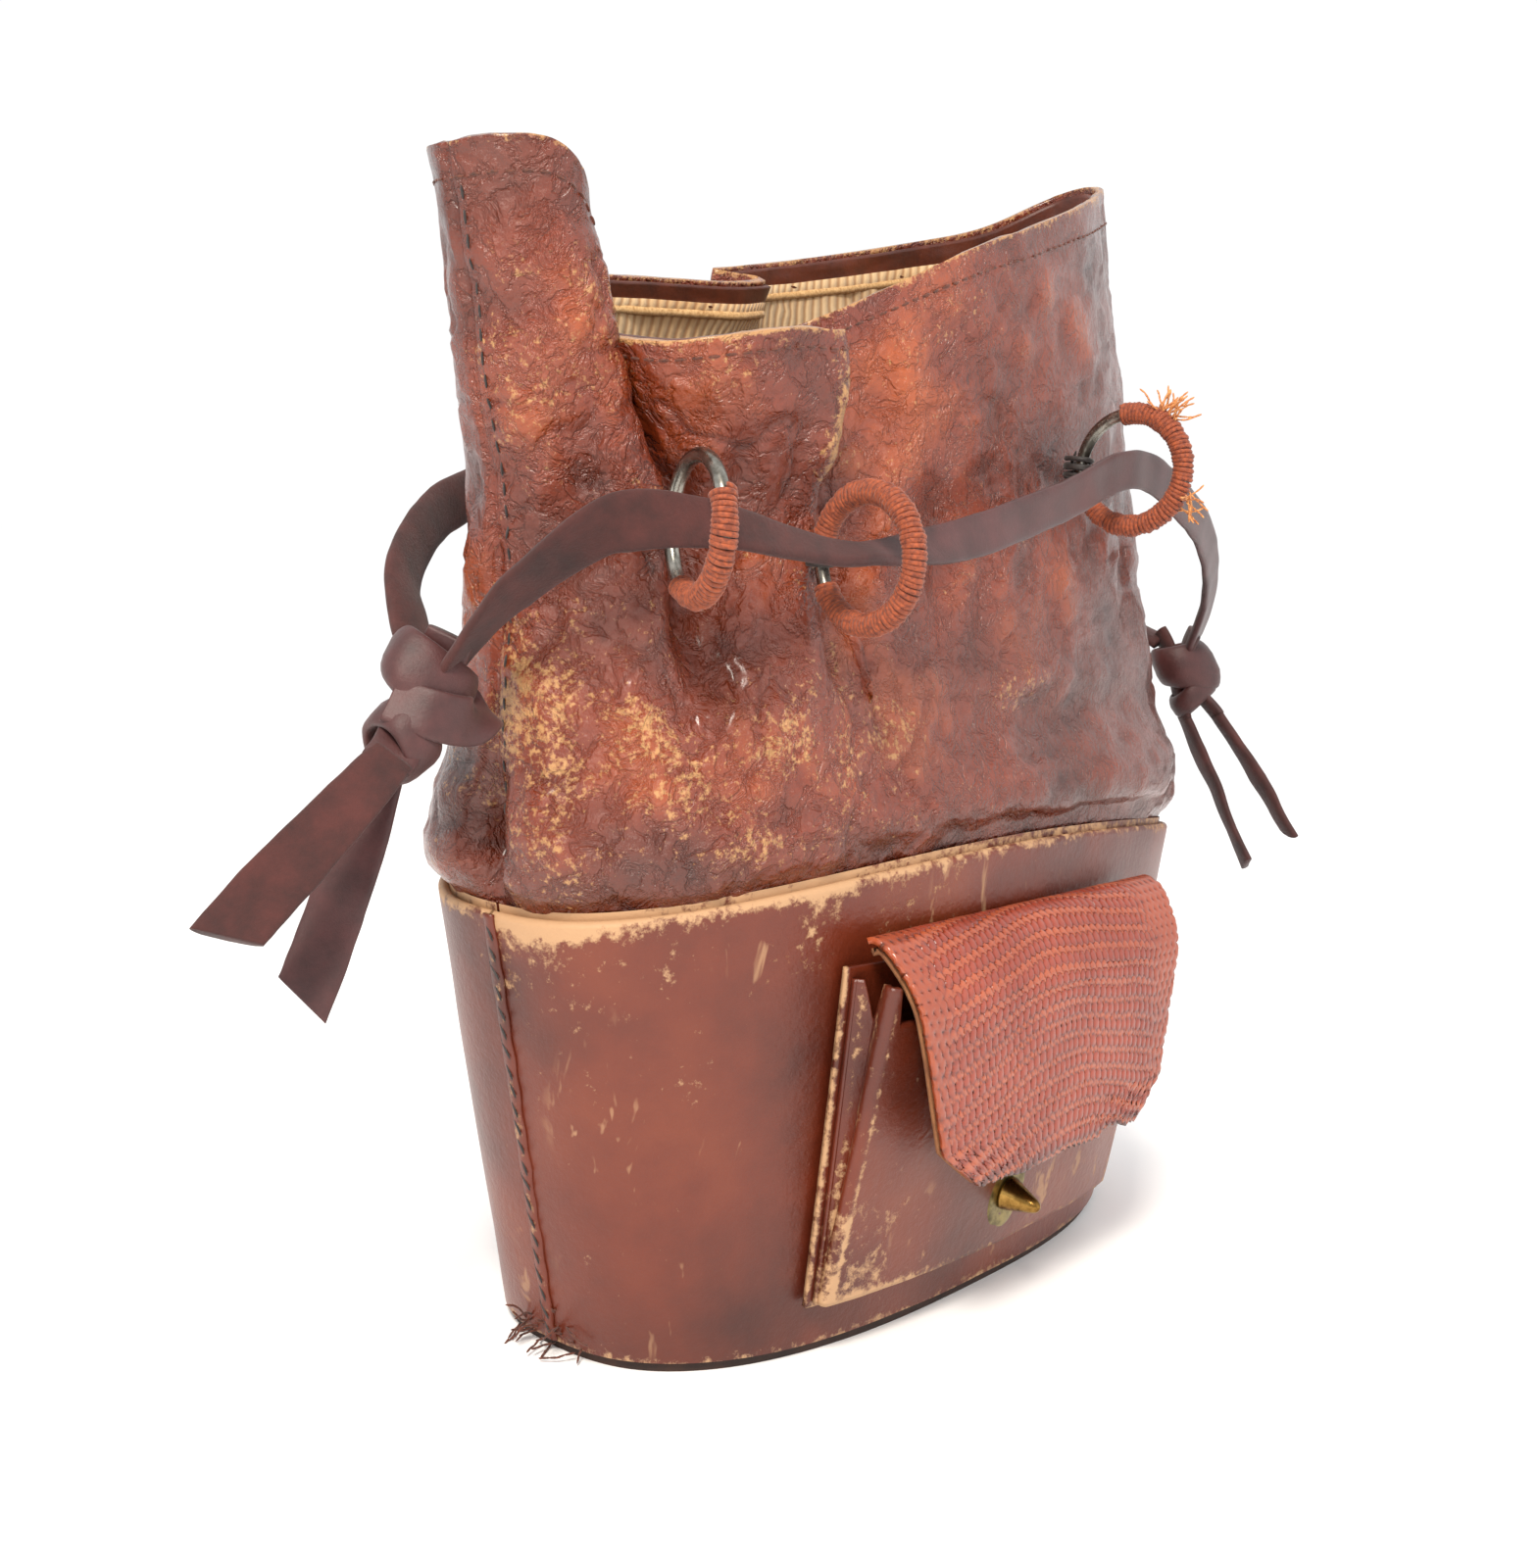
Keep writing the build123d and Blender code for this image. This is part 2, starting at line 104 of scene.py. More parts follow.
# a grid bent into shape; place takes arrays u, v from 0 to 1 and gives points and layer values
def gridMesh(columns, rows, place, wrapU=False, wrapV=False, layers=(), uvSize=None):
    bm = bmesh.new()
    bmesh.ops.create_grid(bm, x_segments=columns, y_segments=rows, size=0.5)
    flat = np.array([v.co[:2] for v in bm.verts]) + 0.5
    points, values = place(flat[:, 0], flat[:, 1])
    uv = bm.loops.layers.uv.new("surface")
    scale = uvSize or (1.0, 1.0)
    for face in bm.faces:
        for loop in face.loops:
            co = loop.vert.co
            loop[uv].uv = ((co.x + 0.5) * scale[0], (co.y + 0.5) * scale[1])
    held = [(bm.verts.layers.float.new(key), values[key]) for key in layers]
    for index, vert in enumerate(bm.verts):
        vert.co = points[index]
        for layer, array in held:
            vert[layer] = float(array[index])
    if wrapU or wrapV:
        bmesh.ops.remove_doubles(bm, verts=bm.verts, dist=0.002)
    return bm


def outwards(bm):
    bmesh.ops.recalc_face_normals(bm, faces=bm.faces)


def closeEnds(bm):
    bmesh.ops.holes_fill(bm, edges=[e for e in bm.edges if e.is_boundary], sides=0)


def solidify(piece, thickness):
    shell = piece.modifiers.new("wall", "SOLIDIFY")
    shell.thickness = thickness / 1000
    shell.offset = -1.0
    shell.use_even_offset = False


# Catmull-Rom blend of four rows of points at the share t between the middle two
def blend(p, t):
    return 0.5 * (2 * p[1] + (p[2] - p[0]) * t + (2 * p[0] - 5 * p[1] + 4 * p[2] - p[3]) * t ** 2
                  + (3 * p[1] - p[0] - 3 * p[2] + p[3]) * t ** 3)


# curve through points (n x d); at is an array from 0 to n (closed) or n-1 (open)
def loopThrough(points, at, closed=True):
    points = np.asarray(points, float)
    count = len(points)
    low = np.floor(at).astype(int)
    if not closed:
        low = np.minimum(low, count - 2)
    steps = [low + k for k in (-1, 0, 1, 2)]
    p = [points[step % count if closed else np.clip(step, 0, count - 1)] for step in steps]
    return blend(p, (at - low)[:, None])


# unit headings of an open curve, taken over a short reach at each side of at
def headingAt(points, at, reach):
    last = len(points) - 1
    run = (loopThrough(points, np.minimum(at + reach, last), closed=False)
           - loopThrough(points, np.maximum(at - reach, 0), closed=False))
    return run / np.linalg.norm(run, axis=1)[:, None]


# length run so far at each point of a path
def runAlong(path):
    return np.concatenate([[0], np.cumsum(np.linalg.norm(np.diff(path, axis=0), axis=1))])


# values given at the points 0, 1, 2 and so on, read at the array at
def between(at, values):
    return np.interp(at, np.arange(len(values)), values)


def signedPower(value, power):
    return np.sign(value) * np.abs(value) ** power


# fractal noise at points (n x 3, mm), about -1 to 1, with bumps about size mm across
def noiseAt(points, size, seed=0.0, depth=2):
    shift = Vector((seed, seed * 1.7, seed * 0.3))
    return np.array([noise.fractal(Vector(p) / size + shift, 1.0, 2.0, depth) for p in points])


ovalPower = 2.6


# point at a share of the way round, from the left end past the front; measured by angle
def superellipse(share, halfX, halfY):
    angle = 2 * np.pi * share
    return np.column_stack([-halfX * signedPower(np.cos(angle), 2 / ovalPower),
                            -halfY * signedPower(np.sin(angle), 2 / ovalPower)])


# angle shares at even steps of length round the superellipse
def evenShares(halfX, halfY):
    share = np.linspace(0, 1, 2001)
    run = runAlong(superellipse(share, halfX, halfY))
    return share, run / run[-1]


# camera, light and floor
cameraFacts = {"place": (-307.45, -231.03, 151.19), "azimuth": -50.43, "elevation": 8.0, "roll": 2.89,
               "lens": 42.75, "sensor": 36.0}


def makeCamera():
    a, e, r = (math.radians(cameraFacts[k]) for k in ("azimuth", "elevation", "roll"))
    back = Vector((math.sin(a) * math.cos(e), -math.cos(a) * math.cos(e), math.sin(e)))
    level = Vector((math.cos(a), math.sin(a), 0))
    up = back.cross(level)
    right = level * math.cos(r) + up * math.sin(r)
    up = -level * math.sin(r) + up * math.cos(r)
    data = bpy.data.cameras.new("camera")
    data.lens = cameraFacts["lens"]
    data.sensor_width = cameraFacts["sensor"]
    camera = bpy.data.objects.new("camera", data)
    bpy.context.scene.collection.objects.link(camera)
    turn = Matrix((right, up, back)).transposed().to_4x4()
    camera.matrix_world = Matrix.Translation(Vector(cameraFacts["place"]) / 1000) @ turn
    bpy.context.scene.camera = camera


lightFacts = {"sky": 1.02, "key": 10.0, "keySize": 0.22, "fill": 1.6, "fillSize": 0.9}


def areaLight(name, place, target, size, power, colour="#FFFFFF"):
    data = bpy.data.lights.new(name, "AREA")
    data.size = size
    data.energy = power
    data.color = srgb(colour)[:3]
    lamp = bpy.data.objects.new(name, data)
    lamp.location = place
    lamp.rotation_euler = (Vector(place) - Vector(target)).to_track_quat("Z", "Y").to_euler()
    bpy.context.scene.collection.objects.link(lamp)


def makeStage():
    world = bpy.data.worlds.new("studio")
    bpy.context.scene.world = world
    world.use_nodes = True
    world.node_tree.nodes["Background"].inputs["Color"].default_value = srgb("#FFFFFF")
    world.node_tree.nodes["Background"].inputs["Strength"].default_value = lightFacts["sky"]
    target = (-0.02, -0.01, 0.11)
    areaLight("key", (-0.62, -0.35, 0.78), target, lightFacts["keySize"], lightFacts["key"], "#FFF6EA")
    areaLight("fill", (0.35, -0.95, 0.45), target, lightFacts["fillSize"], lightFacts["fill"])
    bm = bmesh.new()
    bmesh.ops.create_grid(bm, x_segments=2, y_segments=2, size=6)
    mesh = bpy.data.meshes.new("floor")
    bm.to_mesh(mesh)
    bm.free()
    floor = bpy.data.objects.new("floor", mesh)
    bpy.context.scene.collection.objects.link(floor)
    paper = bpy.data.materials.new("whitePaperSweep")
    paper.use_nodes = True
    shader = paper.node_tree.nodes["Principled BSDF"]
    shader.inputs["Base Color"].default_value = srgb("#FFFFFF")
    shader.inputs["Roughness"].default_value = 0.9
    mesh.materials.append(paper)
    bpy.context.scene.view_settings.view_transform = "Standard"


makeCamera()
makeStage()
print("camera and light")


# materials; here is the link that sets a texture in the piece's own space
def newMaterial(name):
    material = bpy.data.materials.new(name)
    material.use_nodes = True
    tree = material.node_tree
    where = addNode(tree, "TexCoord")
    return material, tree, tree.nodes["Principled BSDF"], {"Vector": (where, "Object")}


softLeather = {"dark": "#2A0D06", "mid": "#742B0F", "light": "#A54C1A", "worn": "#BA8A56",
               "grain": 1.5, "crackle": 0.75, "roughness": 0.25}


# drum-dyed pebbled calf: painted shade darkens it in the folds and painted light turns the crowns
# orange-brown, as the rubbing there does too; pale where its finish has cracked
def makeSoftLeather():
    material, tree, shader, here = newMaterial("pebbledCalfWorn")
    wear = addNode(tree, "Attribute", {"attribute_name": "wear"})
    # the upper's tone: random cloud plus painted shade in its creases and folds, lighter on their crowns
    toneAndPaintedShade = addNode(tree, "Attribute", {"attribute_name": "toneAndPaintedShade"})
    cloud = addNode(tree, "TexNoise", {"Scale": 38.0, "Detail": 4.0, "Roughness": 0.6}, here)
    mixTone = addNode(tree, "Math", {"operation": "MULTIPLY_ADD", 1: 0.55},
                      {0: (cloud, "Fac"), 2: (toneAndPaintedShade, "Fac")})
    hue = addNode(tree, "ValToRGB", None, {"Fac": (mixTone, 0)},
                  [(0.18, softLeather["dark"]), (0.62, softLeather["mid"]), (0.92, softLeather["light"])])
    # pebbles about 1.5 mm across, from the hide's own grain
    pebble = addNode(tree, "TexVoronoi",
                     {"feature": "SMOOTH_F1", "Scale": 1000 / softLeather["grain"], "Smoothness": 0.6}, here)
    fine = addNode(tree, "TexNoise", {"Scale": 900.0, "Detail": 5.0, "Roughness": 0.65}, here)
    # cracked finish: islands of dye left between pale cracks, 0.9 mm apart
    crack = addNode(tree, "TexNoise",
                    {"Scale": 1000 / softLeather["crackle"] * 0.6, "Detail": 5.0, "Roughness": 0.68}, here)
    crackSum = addNode(tree, "Math", {"operation": "ADD"}, {0: (crack, "Fac"), 1: (wear, "Fac")})
    bare = addNode(tree, "ValToRGB", None, {"Fac": (crackSum, 0)}, [(0.87, "#000000"), (0.99, "#FFFFFF")])
    bareShare = addNode(tree, "Math", {"operation": "MULTIPLY", 1: 0.86}, {0: (bare, "Color")})
    colour = addNode(tree, "Mix", {"data_type": "RGBA", 7: srgb(softLeather["worn"])},
                     {0: (bareShare, 0), 6: (hue, "Color")})
    rough = addNode(tree, "Math", {"operation": "MULTIPLY_ADD", 1: 0.30, 2: softLeather["roughness"]},
                    {0: (bareShare, 0)})
    height = addNode(tree, "Math", {"operation": "MULTIPLY_ADD", 1: -0.8},
                     {0: (pebble, "Distance"), 2: (fine, "Fac")})
    # creases 3 to 4 mm apart that net the whole hide
    crease = addNode(tree, "TexNoise", {"Scale": 210.0, "Detail": 4.0, "Roughness": 0.62, "Distortion": 0.5},
                     here)
    ridge = addNode(tree, "Math", {"operation": "SUBTRACT", 1: 0.5}, {0: (crease, "Fac")})
    away = addNode(tree, "Math", {"operation": "ABSOLUTE"}, {0: (ridge, 0)})
    trough = addNode(tree, "Math", {"operation": "MINIMUM", 1: 0.07}, {0: (away, 0)})
    net = addNode(tree, "Math", {"operation": "MULTIPLY_ADD", 1: 14.0}, {0: (trough, 0), 2: (height, 0)})
    bump = addNode(tree, "Bump", {"Strength": 0.75, "Distance": 0.0006}, {"Height": (net, 0)})
    setNode(tree, shader, {"IOR": 1.5, "Coat Weight": 0.4, "Coat Roughness": 0.18},
            {"Base Color": (colour, 2), "Roughness": (rough, 0), "Normal": (bump, 0)})
    return material


smoothLeather = {"dark": "#3C150C", "mid": "#642714", "light": "#7A371C", "worn": "#C09870",
                 "roughness": 0.32}


# bridle-finished cowhide over board: even, semi-gloss, scuffed pale along its edges and in short scratches
def makeSmoothLeather():
    material, tree, shader, here = newMaterial("bridleCowhideScuffed")
    wear = addNode(tree, "Attribute", {"attribute_name": "wear"})
    cloud = addNode(tree, "TexNoise", {"Scale": 22.0, "Detail": 5.0, "Roughness": 0.55}, here)
    hue = addNode(tree, "ValToRGB", None, {"Fac": (cloud, "Fac")},
                  [(0.30, smoothLeather["dark"]), (0.52, smoothLeather["mid"]),
                   (0.75, smoothLeather["light"])])
    crack = addNode(tree, "TexNoise", {"Scale": 420.0, "Detail": 7.0, "Roughness": 0.75}, here)
    # short scratches that run a few millimetres, drawn wider than real so that they show
    bend = addNode(tree, "Mapping", {"Scale": (1.0, 1.0, 0.35), "Rotation": (0.0, 0.5, 0.2)}, here)
    scratch = addNode(tree, "TexNoise", {"Scale": 150.0, "Detail": 3.0, "Roughness": 0.8, "Distortion": 0.6},
                      {"Vector": (bend, 0)})
    scratchLine = addNode(tree, "ValToRGB", None, {"Fac": (scratch, "Fac")},
                          [(0.60, "#000000"), (0.66, "#FFFFFF")])
    patch = addNode(tree, "TexNoise", {"Scale": 26.0, "Detail": 2.0}, here)
    patchOn = addNode(tree, "ValToRGB", None, {"Fac": (patch, "Fac")},
                      [(0.52, "#000000"), (0.64, "#FFFFFF")])
    scratchOn = addNode(tree, "Math", {"operation": "MULTIPLY"},
                        {0: (scratchLine, "Color"), 1: (patchOn, "Color")})
    scratchHere = addNode(tree, "Math", {"operation": "MULTIPLY", 1: 0.62}, {0: (scratchOn, 0)})
    crackSum = addNode(tree, "Math", {"operation": "ADD"}, {0: (crack, "Fac"), 1: (wear, "Fac")})
    bare = addNode(tree, "ValToRGB", None, {"Fac": (crackSum, 0)}, [(0.86, "#000000"), (1.0, "#FFFFFF")])
    both = addNode(tree, "Math", {"operation": "MAXIMUM"}, {0: (bare, "Color"), 1: (scratchHere, 0)})
    amount = addNode(tree, "Math", {"operation": "MULTIPLY", 1: 0.85}, {0: (both, 0)})
    colour = addNode(tree, "Mix", {"data_type": "RGBA", 7: srgb(smoothLeather["worn"])},
                     {0: (amount, 0), 6: (hue, "Color")})
    rough = addNode(tree, "Math", {"operation": "MULTIPLY_ADD", 1: 0.35, 2: smoothLeather["roughness"]},
                    {0: (amount, 0)})
    pores = addNode(tree, "TexNoise", {"Scale": 620.0, "Detail": 5.0, "Roughness": 0.66}, here)
    height = addNode(tree, "Math", {"operation": "MULTIPLY_ADD", 1: -0.4},
                     {0: (amount, 0), 2: (pores, "Fac")})
    bump = addNode(tree, "Bump", {"Strength": 0.5, "Distance": 0.0004}, {"Height": (height, 0)})
    setNode(tree, shader, {"IOR": 1.5},
            {"Base Color": (colour, 2), "Roughness": (rough, 0), "Normal": (bump, 0)})
    return material


# a leather with one dye, cloudy by a few shades, with a fine nap or grain
def makePlainLeather(name, dark, light, roughness, grainScale=1500.0, strength=0.3, sheen=0.0):
    material, tree, shader, here = newMaterial(name)
    cloud = addNode(tree, "TexNoise", {"Scale": 110.0, "Detail": 6.0, "Roughness": 0.65}, here)
    hue = addNode(tree, "ValToRGB", None, {"Fac": (cloud, "Fac")}, [(0.32, dark), (0.68, light)])
    nap = addNode(tree, "TexNoise", {"Scale": grainScale, "Detail": 5.0, "Roughness": 0.7}, here)
    bump = addNode(tree, "Bump", {"Strength": strength, "Distance": 0.0004}, {"Height": (nap, "Fac")})
    setNode(tree, shader, {"Roughness": roughness, "Sheen Weight": sheen, "Sheen Roughness": 0.4},
            {"Base Color": (hue, 0), "Normal": (bump, 0)})
    return material


# twisted thread: short diagonal fibres, lighter on the crowns
def makeCord(name, dark, light, roughness):
    material, tree, shader, here = newMaterial(name)
    fibre = addNode(tree, "TexNoise", {"Scale": 1400.0, "Detail": 4.0, "Roughness": 0.7}, here)
    hue = addNode(tree, "ValToRGB", None, {"Fac": (fibre, "Fac")}, [(0.35, dark), (0.65, light)])
    bump = addNode(tree, "Bump", {"Strength": 0.4, "Distance": 0.0002}, {"Height": (fibre, "Fac")})
    setNode(tree, shader, {"Roughness": roughness, "Sheen Weight": 0.15},
            {"Base Color": (hue, 0), "Normal": (bump, 0)})
    return material


# old polished metal: bright where rubbed, browner and duller in stains
def makeMetal(name, dark, light, roughness, scale=260.0):
    material, tree, shader, here = newMaterial(name)
    stain = addNode(tree, "TexNoise", {"Scale": scale, "Detail": 6.0, "Roughness": 0.7}, here)
    hue = addNode(tree, "ValToRGB", None, {"Fac": (stain, "Fac")}, [(0.38, dark), (0.62, light)])
    rough = addNode(tree, "Math", {"operation": "MULTIPLY_ADD", 1: -0.25, 2: roughness + 0.16},
                    {0: (stain, "Fac")})
    bump = addNode(tree, "Bump", {"Strength": 0.12, "Distance": 0.0002}, {"Height": (stain, "Fac")})
    setNode(tree, shader, {"Metallic": 1.0},
            {"Base Color": (hue, 0), "Roughness": (rough, 0), "Normal": (bump, 0)})
    return material


# ribbed cotton lining: raised cords 1.1 mm apart run up the wall, unbleached and a little soiled
def makeLiningCloth():
    material, tree, shader, here = newMaterial("ribbedCottonLining")
    ribs = addNode(tree, "TexWave",
                   {"wave_type": "BANDS", "bands_direction": "X", "Scale": 0.314 / 1.1, "Distortion": 0.4,
                    "Detail": 2.0}, {"Vector": (here["Vector"][0], "UV")})
    soil = addNode(tree, "TexNoise", {"Scale": 40.0, "Detail": 5.0}, here)
    thread = addNode(tree, "TexNoise", {"Scale": 1500.0, "Detail": 2.0}, here)
    base = addNode(tree, "ValToRGB", None, {"Fac": (soil, "Fac")}, [(0.3, "#C09A6C"), (0.7, "#E2C8A0")])
    shade = addNode(tree, "ValToRGB", None, {"Fac": (ribs, "Fac")}, [(0.0, "#B08A62"), (0.6, "#FFFFFF")])
    colour = addNode(tree, "Mix", {"data_type": "RGBA", "blend_type": "MULTIPLY", 0: 0.7},
                     {6: (base, "Color"), 7: (shade, "Color")})
    height = addNode(tree, "Math", {"operation": "MULTIPLY_ADD", 1: 0.3},
                     {0: (thread, "Fac"), 2: (ribs, "Fac")})
    bump = addNode(tree, "Bump", {"Strength": 0.6, "Distance": 0.0004}, {"Height": (height, 0)})
    setNode(tree, shader, {"Roughness": 0.9, "Sheen Weight": 0.2},
            {"Base Color": (colour, 2), "Normal": (bump, 0)})
    return material


# lizard-embossed calf: painted shade darkens the recesses and slits, and it is rubbed orange-red on the
# raised net
def makeLizard():
    material, tree, shader, here = newMaterial("lizardEmbossedCalf")
    relief = addNode(tree, "Attribute", {"attribute_name": "relief"})
    net = addNode(tree, "Attribute", {"attribute_name": "net"})
    cloud = addNode(tree, "TexNoise", {"Scale": 60.0, "Detail": 4.0}, here)
    # colour from the relief: painted shade, darkest where the embossing sinks
    skinAndRecessShade = addNode(tree, "ValToRGB", None, {"Fac": (relief, "Fac")},
                   [(0.20, "#250704"), (0.52, "#6A2315"), (0.90, "#9A3F27")])
    rubbed = addNode(tree, "Mix", {"data_type": "RGBA", 7: srgb("#AE5630")},
                     {0: (net, "Fac"), 6: (skinAndRecessShade, "Color")})
    shade = addNode(tree, "ValToRGB", None, {"Fac": (cloud, "Fac")}, [(0.3, "#C9AFA8"), (0.65, "#FFFFFF")])
    colour = addNode(tree, "Mix", {"data_type": "RGBA", "blend_type": "MULTIPLY", 0: 0.6},
                     {6: (rubbed, 2), 7: (shade, "Color")})
    fine = addNode(tree, "TexNoise", {"Scale": 1300.0, "Detail": 4.0}, here)
    bump = addNode(tree, "Bump", {"Strength": 0.25, "Distance": 0.0002}, {"Height": (fine, "Fac")})
    setNode(tree, shader, {"Roughness": 0.28, "IOR": 1.5, "Coat Weight": 0.3, "Coat Roughness": 0.2},
            {"Base Color": (colour, 2), "Normal": (bump, 0)})
    return material


# split hide lace: napped suede on one face, polished grain on the other, as the attribute grainSide says
def makeLaceHide():
    material, tree, shader, here = newMaterial("splitHideLace")
    side = addNode(tree, "Attribute", {"attribute_name": "grainSide"})
    cloud = addNode(tree, "TexNoise", {"Scale": 130.0, "Detail": 6.0, "Roughness": 0.65}, here)
    napped = addNode(tree, "ValToRGB", None, {"Fac": (cloud, "Fac")}, [(0.32, "#2A0E0B"), (0.68, "#4C1F1A")])
    polished = addNode(tree, "ValToRGB", None, {"Fac": (cloud, "Fac")},
                       [(0.32, "#331514"), (0.68, "#4E2625")])
    colour = addNode(tree, "Mix", {"data_type": "RGBA"},
                     {0: (side, "Fac"), 6: (napped, "Color"), 7: (polished, "Color")})
    rough = addNode(tree, "Math", {"operation": "MULTIPLY_ADD", 1: -0.42, 2: 0.84}, {0: (side, "Fac")})
    nap = addNode(tree, "TexNoise", {"Scale": 1500.0, "Detail": 5.0, "Roughness": 0.75}, here)
    lift = addNode(tree, "Math", {"operation": "MULTIPLY_ADD", 1: -0.75, 2: 1.0}, {0: (side, "Fac")})
    height = addNode(tree, "Math", {"operation": "MULTIPLY"}, {0: (nap, "Fac"), 1: (lift, 0)})
    bump = addNode(tree, "Bump", {"Strength": 0.6, "Distance": 0.0005}, {"Height": (height, 0)})
    setNode(tree, shader, {"Sheen Weight": 0.1},
            {"Base Color": (colour, 2), "Roughness": (rough, 0), "Normal": (bump, 0)})
    return material


calf = makeSoftLeather()
cowhide = makeSmoothLeather()
facingHide = makePlainLeather("smoothFacingCalf", "#3A160C", "#632A15", 0.42)
laceHide = makeLaceHide()
soleHide = makePlainLeather("waxedSoleLeather", "#1E100B", "#3A2116", 0.7)
fleshHide = makePlainLeather("rawFleshSide", "#6A3B22", "#9C6A42", 0.88, 1200.0, 0.5)
lining = makeLiningCloth()
lizard = makeLizard()
board = makePlainLeather("greyPasteboard", "#5A544B", "#7A7468", 0.95, 900.0, 0.2)
steel = makeMetal("dulledSteelWire", "#5E5A52", "#A8A59C", 0.24)
brass = makeMetal("agedBrassPlate", "#4C4224", "#8F8152", 0.30)
brassKnob = makeMetal("rubbedBrassStud", "#6A4B20", "#B08A4A", 0.22)
rustThread = makeCord("rustButtonholeThread", "#5E2410", "#A04B22", 0.7)
blackThread = makeCord("waxedBlackThread", "#0D0A09", "#2A1E1A", 0.55)
brownThread = makeCord("brownLinenThread", "#3A1A10", "#6A3520", 0.75)
paleThread = makeCord("bareFlaxThread", "#A87C48", "#D9B27C", 0.85)
frayThread = makeCord("frayedRustThread", "#A65A2A", "#E0A060", 0.85)
print("materials")


# hard base, in the shape of the frame's solids
baseFacts = {"columns": 300, "wall": 2.2, "lip": 1.0, "dent": 0.35, "ridgeWear": 0.27, "cornerWear": 0.24,
             "low": 2.1, "endHigh": 84, "rise": 8.2, "footX": 81, "footY": 37.75, "ridgeX": 100,
             "ridgeY": 42.7, "seamGap": 0.0007}


def ridgeHeight(x):
    return baseFacts["endHigh"] + baseFacts["rise"] * (1 - np.minimum((x / baseFacts["ridgeX"]) ** 2, 1.3))


def baseHalf(z):
    high = baseFacts["endHigh"]
    return (baseFacts["footX"] + z / high * (baseFacts["ridgeX"] - baseFacts["footX"]),
            baseFacts["footY"] + z / (high + baseFacts["rise"]) * (baseFacts["ridgeY"] - baseFacts["footY"]))


# y of the base's front face at x and z, moved out by out
def basePoint(x, z, out=0.0):
    halfX, halfY = baseHalf(z)
    return -(halfY + out) * np.maximum(1 - np.abs(x / (halfX + out)) ** ovalPower, 0) ** (1 / ovalPower)


# the wall's closed section: up the outside, over the lip, down the inside; gives height share and depth in
def wallSection(v, wall, lip):
    outline = [(0, lip), (0, 0.55), (0.008, 0.15), (0.02, 0), (0.25, 0), (0.5, 0), (0.75, 0), (0.9, 0),
               (0.975, 0), (0.992, 0.2), (1.0, wall / 2), (0.992, wall - 0.2), (0.975, wall), (0.5, wall),
               (0.02, wall), (0, wall - lip)]
    return loopThrough(outline, v * len(outline))


evenAngle, evenRun = evenShares(baseFacts["ridgeX"], baseFacts["ridgeY"])


def makeBasePanel(name, side, node):
    ridge = (baseFacts["ridgeX"], baseFacts["ridgeY"])

    def place(u, v):
        halfWay = 0.5 if side == -1 else 1.0
        even = halfWay - 0.5 + baseFacts["seamGap"] + u * (0.5 - 2 * baseFacts["seamGap"])
        angle = np.interp(even, evenRun, evenAngle)
        section = wallSection(v, baseFacts["wall"], baseFacts["lip"])
        ridgeZ = ridgeHeight(superellipse(angle, *ridge)[:, 0])
        z = baseFacts["low"] + section[:, 0] * (ridgeZ - baseFacts["low"])
        halfX, halfY = baseHalf(z)
        x, y = superellipse(angle, halfX - section[:, 1], halfY - section[:, 1]).T
        points = np.column_stack([x, y, z])
        away = np.column_stack([x / halfX ** 2, y / halfY ** 2, np.zeros(len(x))])
        away /= np.linalg.norm(away, axis=1)[:, None]
        outside = np.clip(1 - section[:, 1] / 0.6, 0, 1)
        points += away * (noiseAt(points, 34, 3.1) * baseFacts["dent"] * outside)[:, None]
        top = np.clip(1 - (ridgeZ - z) / 3.4, 0, 1)
        low = np.clip(1 - (z - baseFacts["low"]) / 2.6, 0, 1)
        under = np.clip(1 - (ridgeZ - z) / 22, 0, 1)
        blotch = noiseAt(points, 15, 8.4, 3)
        leftFront = np.clip((20 - x) / 90, 0, 1) * (1 if side == -1 else 0.5)
        wear = 0.16 + 0.06 * blotch + baseFacts["ridgeWear"] * top + baseFacts["cornerWear"] * low
        wear += under * (0.16 + 0.30 * np.clip(blotch, -0.2, 1)) * leftFront
        wear += 0.14 * np.clip(noiseAt(points, 24, 21.0, 2) - 0.12, 0, 1) * outside
        wear += np.clip((np.abs(x) - 76) / 24, 0, 1) * 0.10 * (y < 0)
        return points, {"wear": wear}

    bm = gridMesh(baseFacts["columns"], 90, place, wrapV=True, layers=("wear",))
    outwards(bm)
    closeEnds(bm)
    finishPiece(name, bm, "bag", (node,), cowhide, angle=60)


makeBasePanel("baseFrontSkin", -1, "base_front_panel")
makeBasePanel("baseRearSkin", 1, "base_rear_panel")
for node, finish in (("base_board", board), ("bottom_board", board), ("sole", soleHide),
                     ("stud_washer", brass)):
    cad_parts[node].data.materials.clear()
    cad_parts[node].data.materials.append(finish)
print("base")


# a capsule of thread lying along heading; a few dozen faces each
def addStitch(bm, place, heading, length, radius):
    turn = Vector(heading).to_track_quat("Z", "Y").to_matrix().to_4x4()
    shape = Matrix.Diagonal((radius, radius, length / 2, 1.0))
    bmesh.ops.create_uvsphere(bm, u_segments=7, v_segments=6, radius=1.0,
                              matrix=Matrix.Translation(Vector(place)) @ turn @ shape)


weltFacts = {"width": 2.6, "height": 0.75, "pitch": 3.6, "stitch": 3.9, "thread": 0.27, "slant": 0.62}


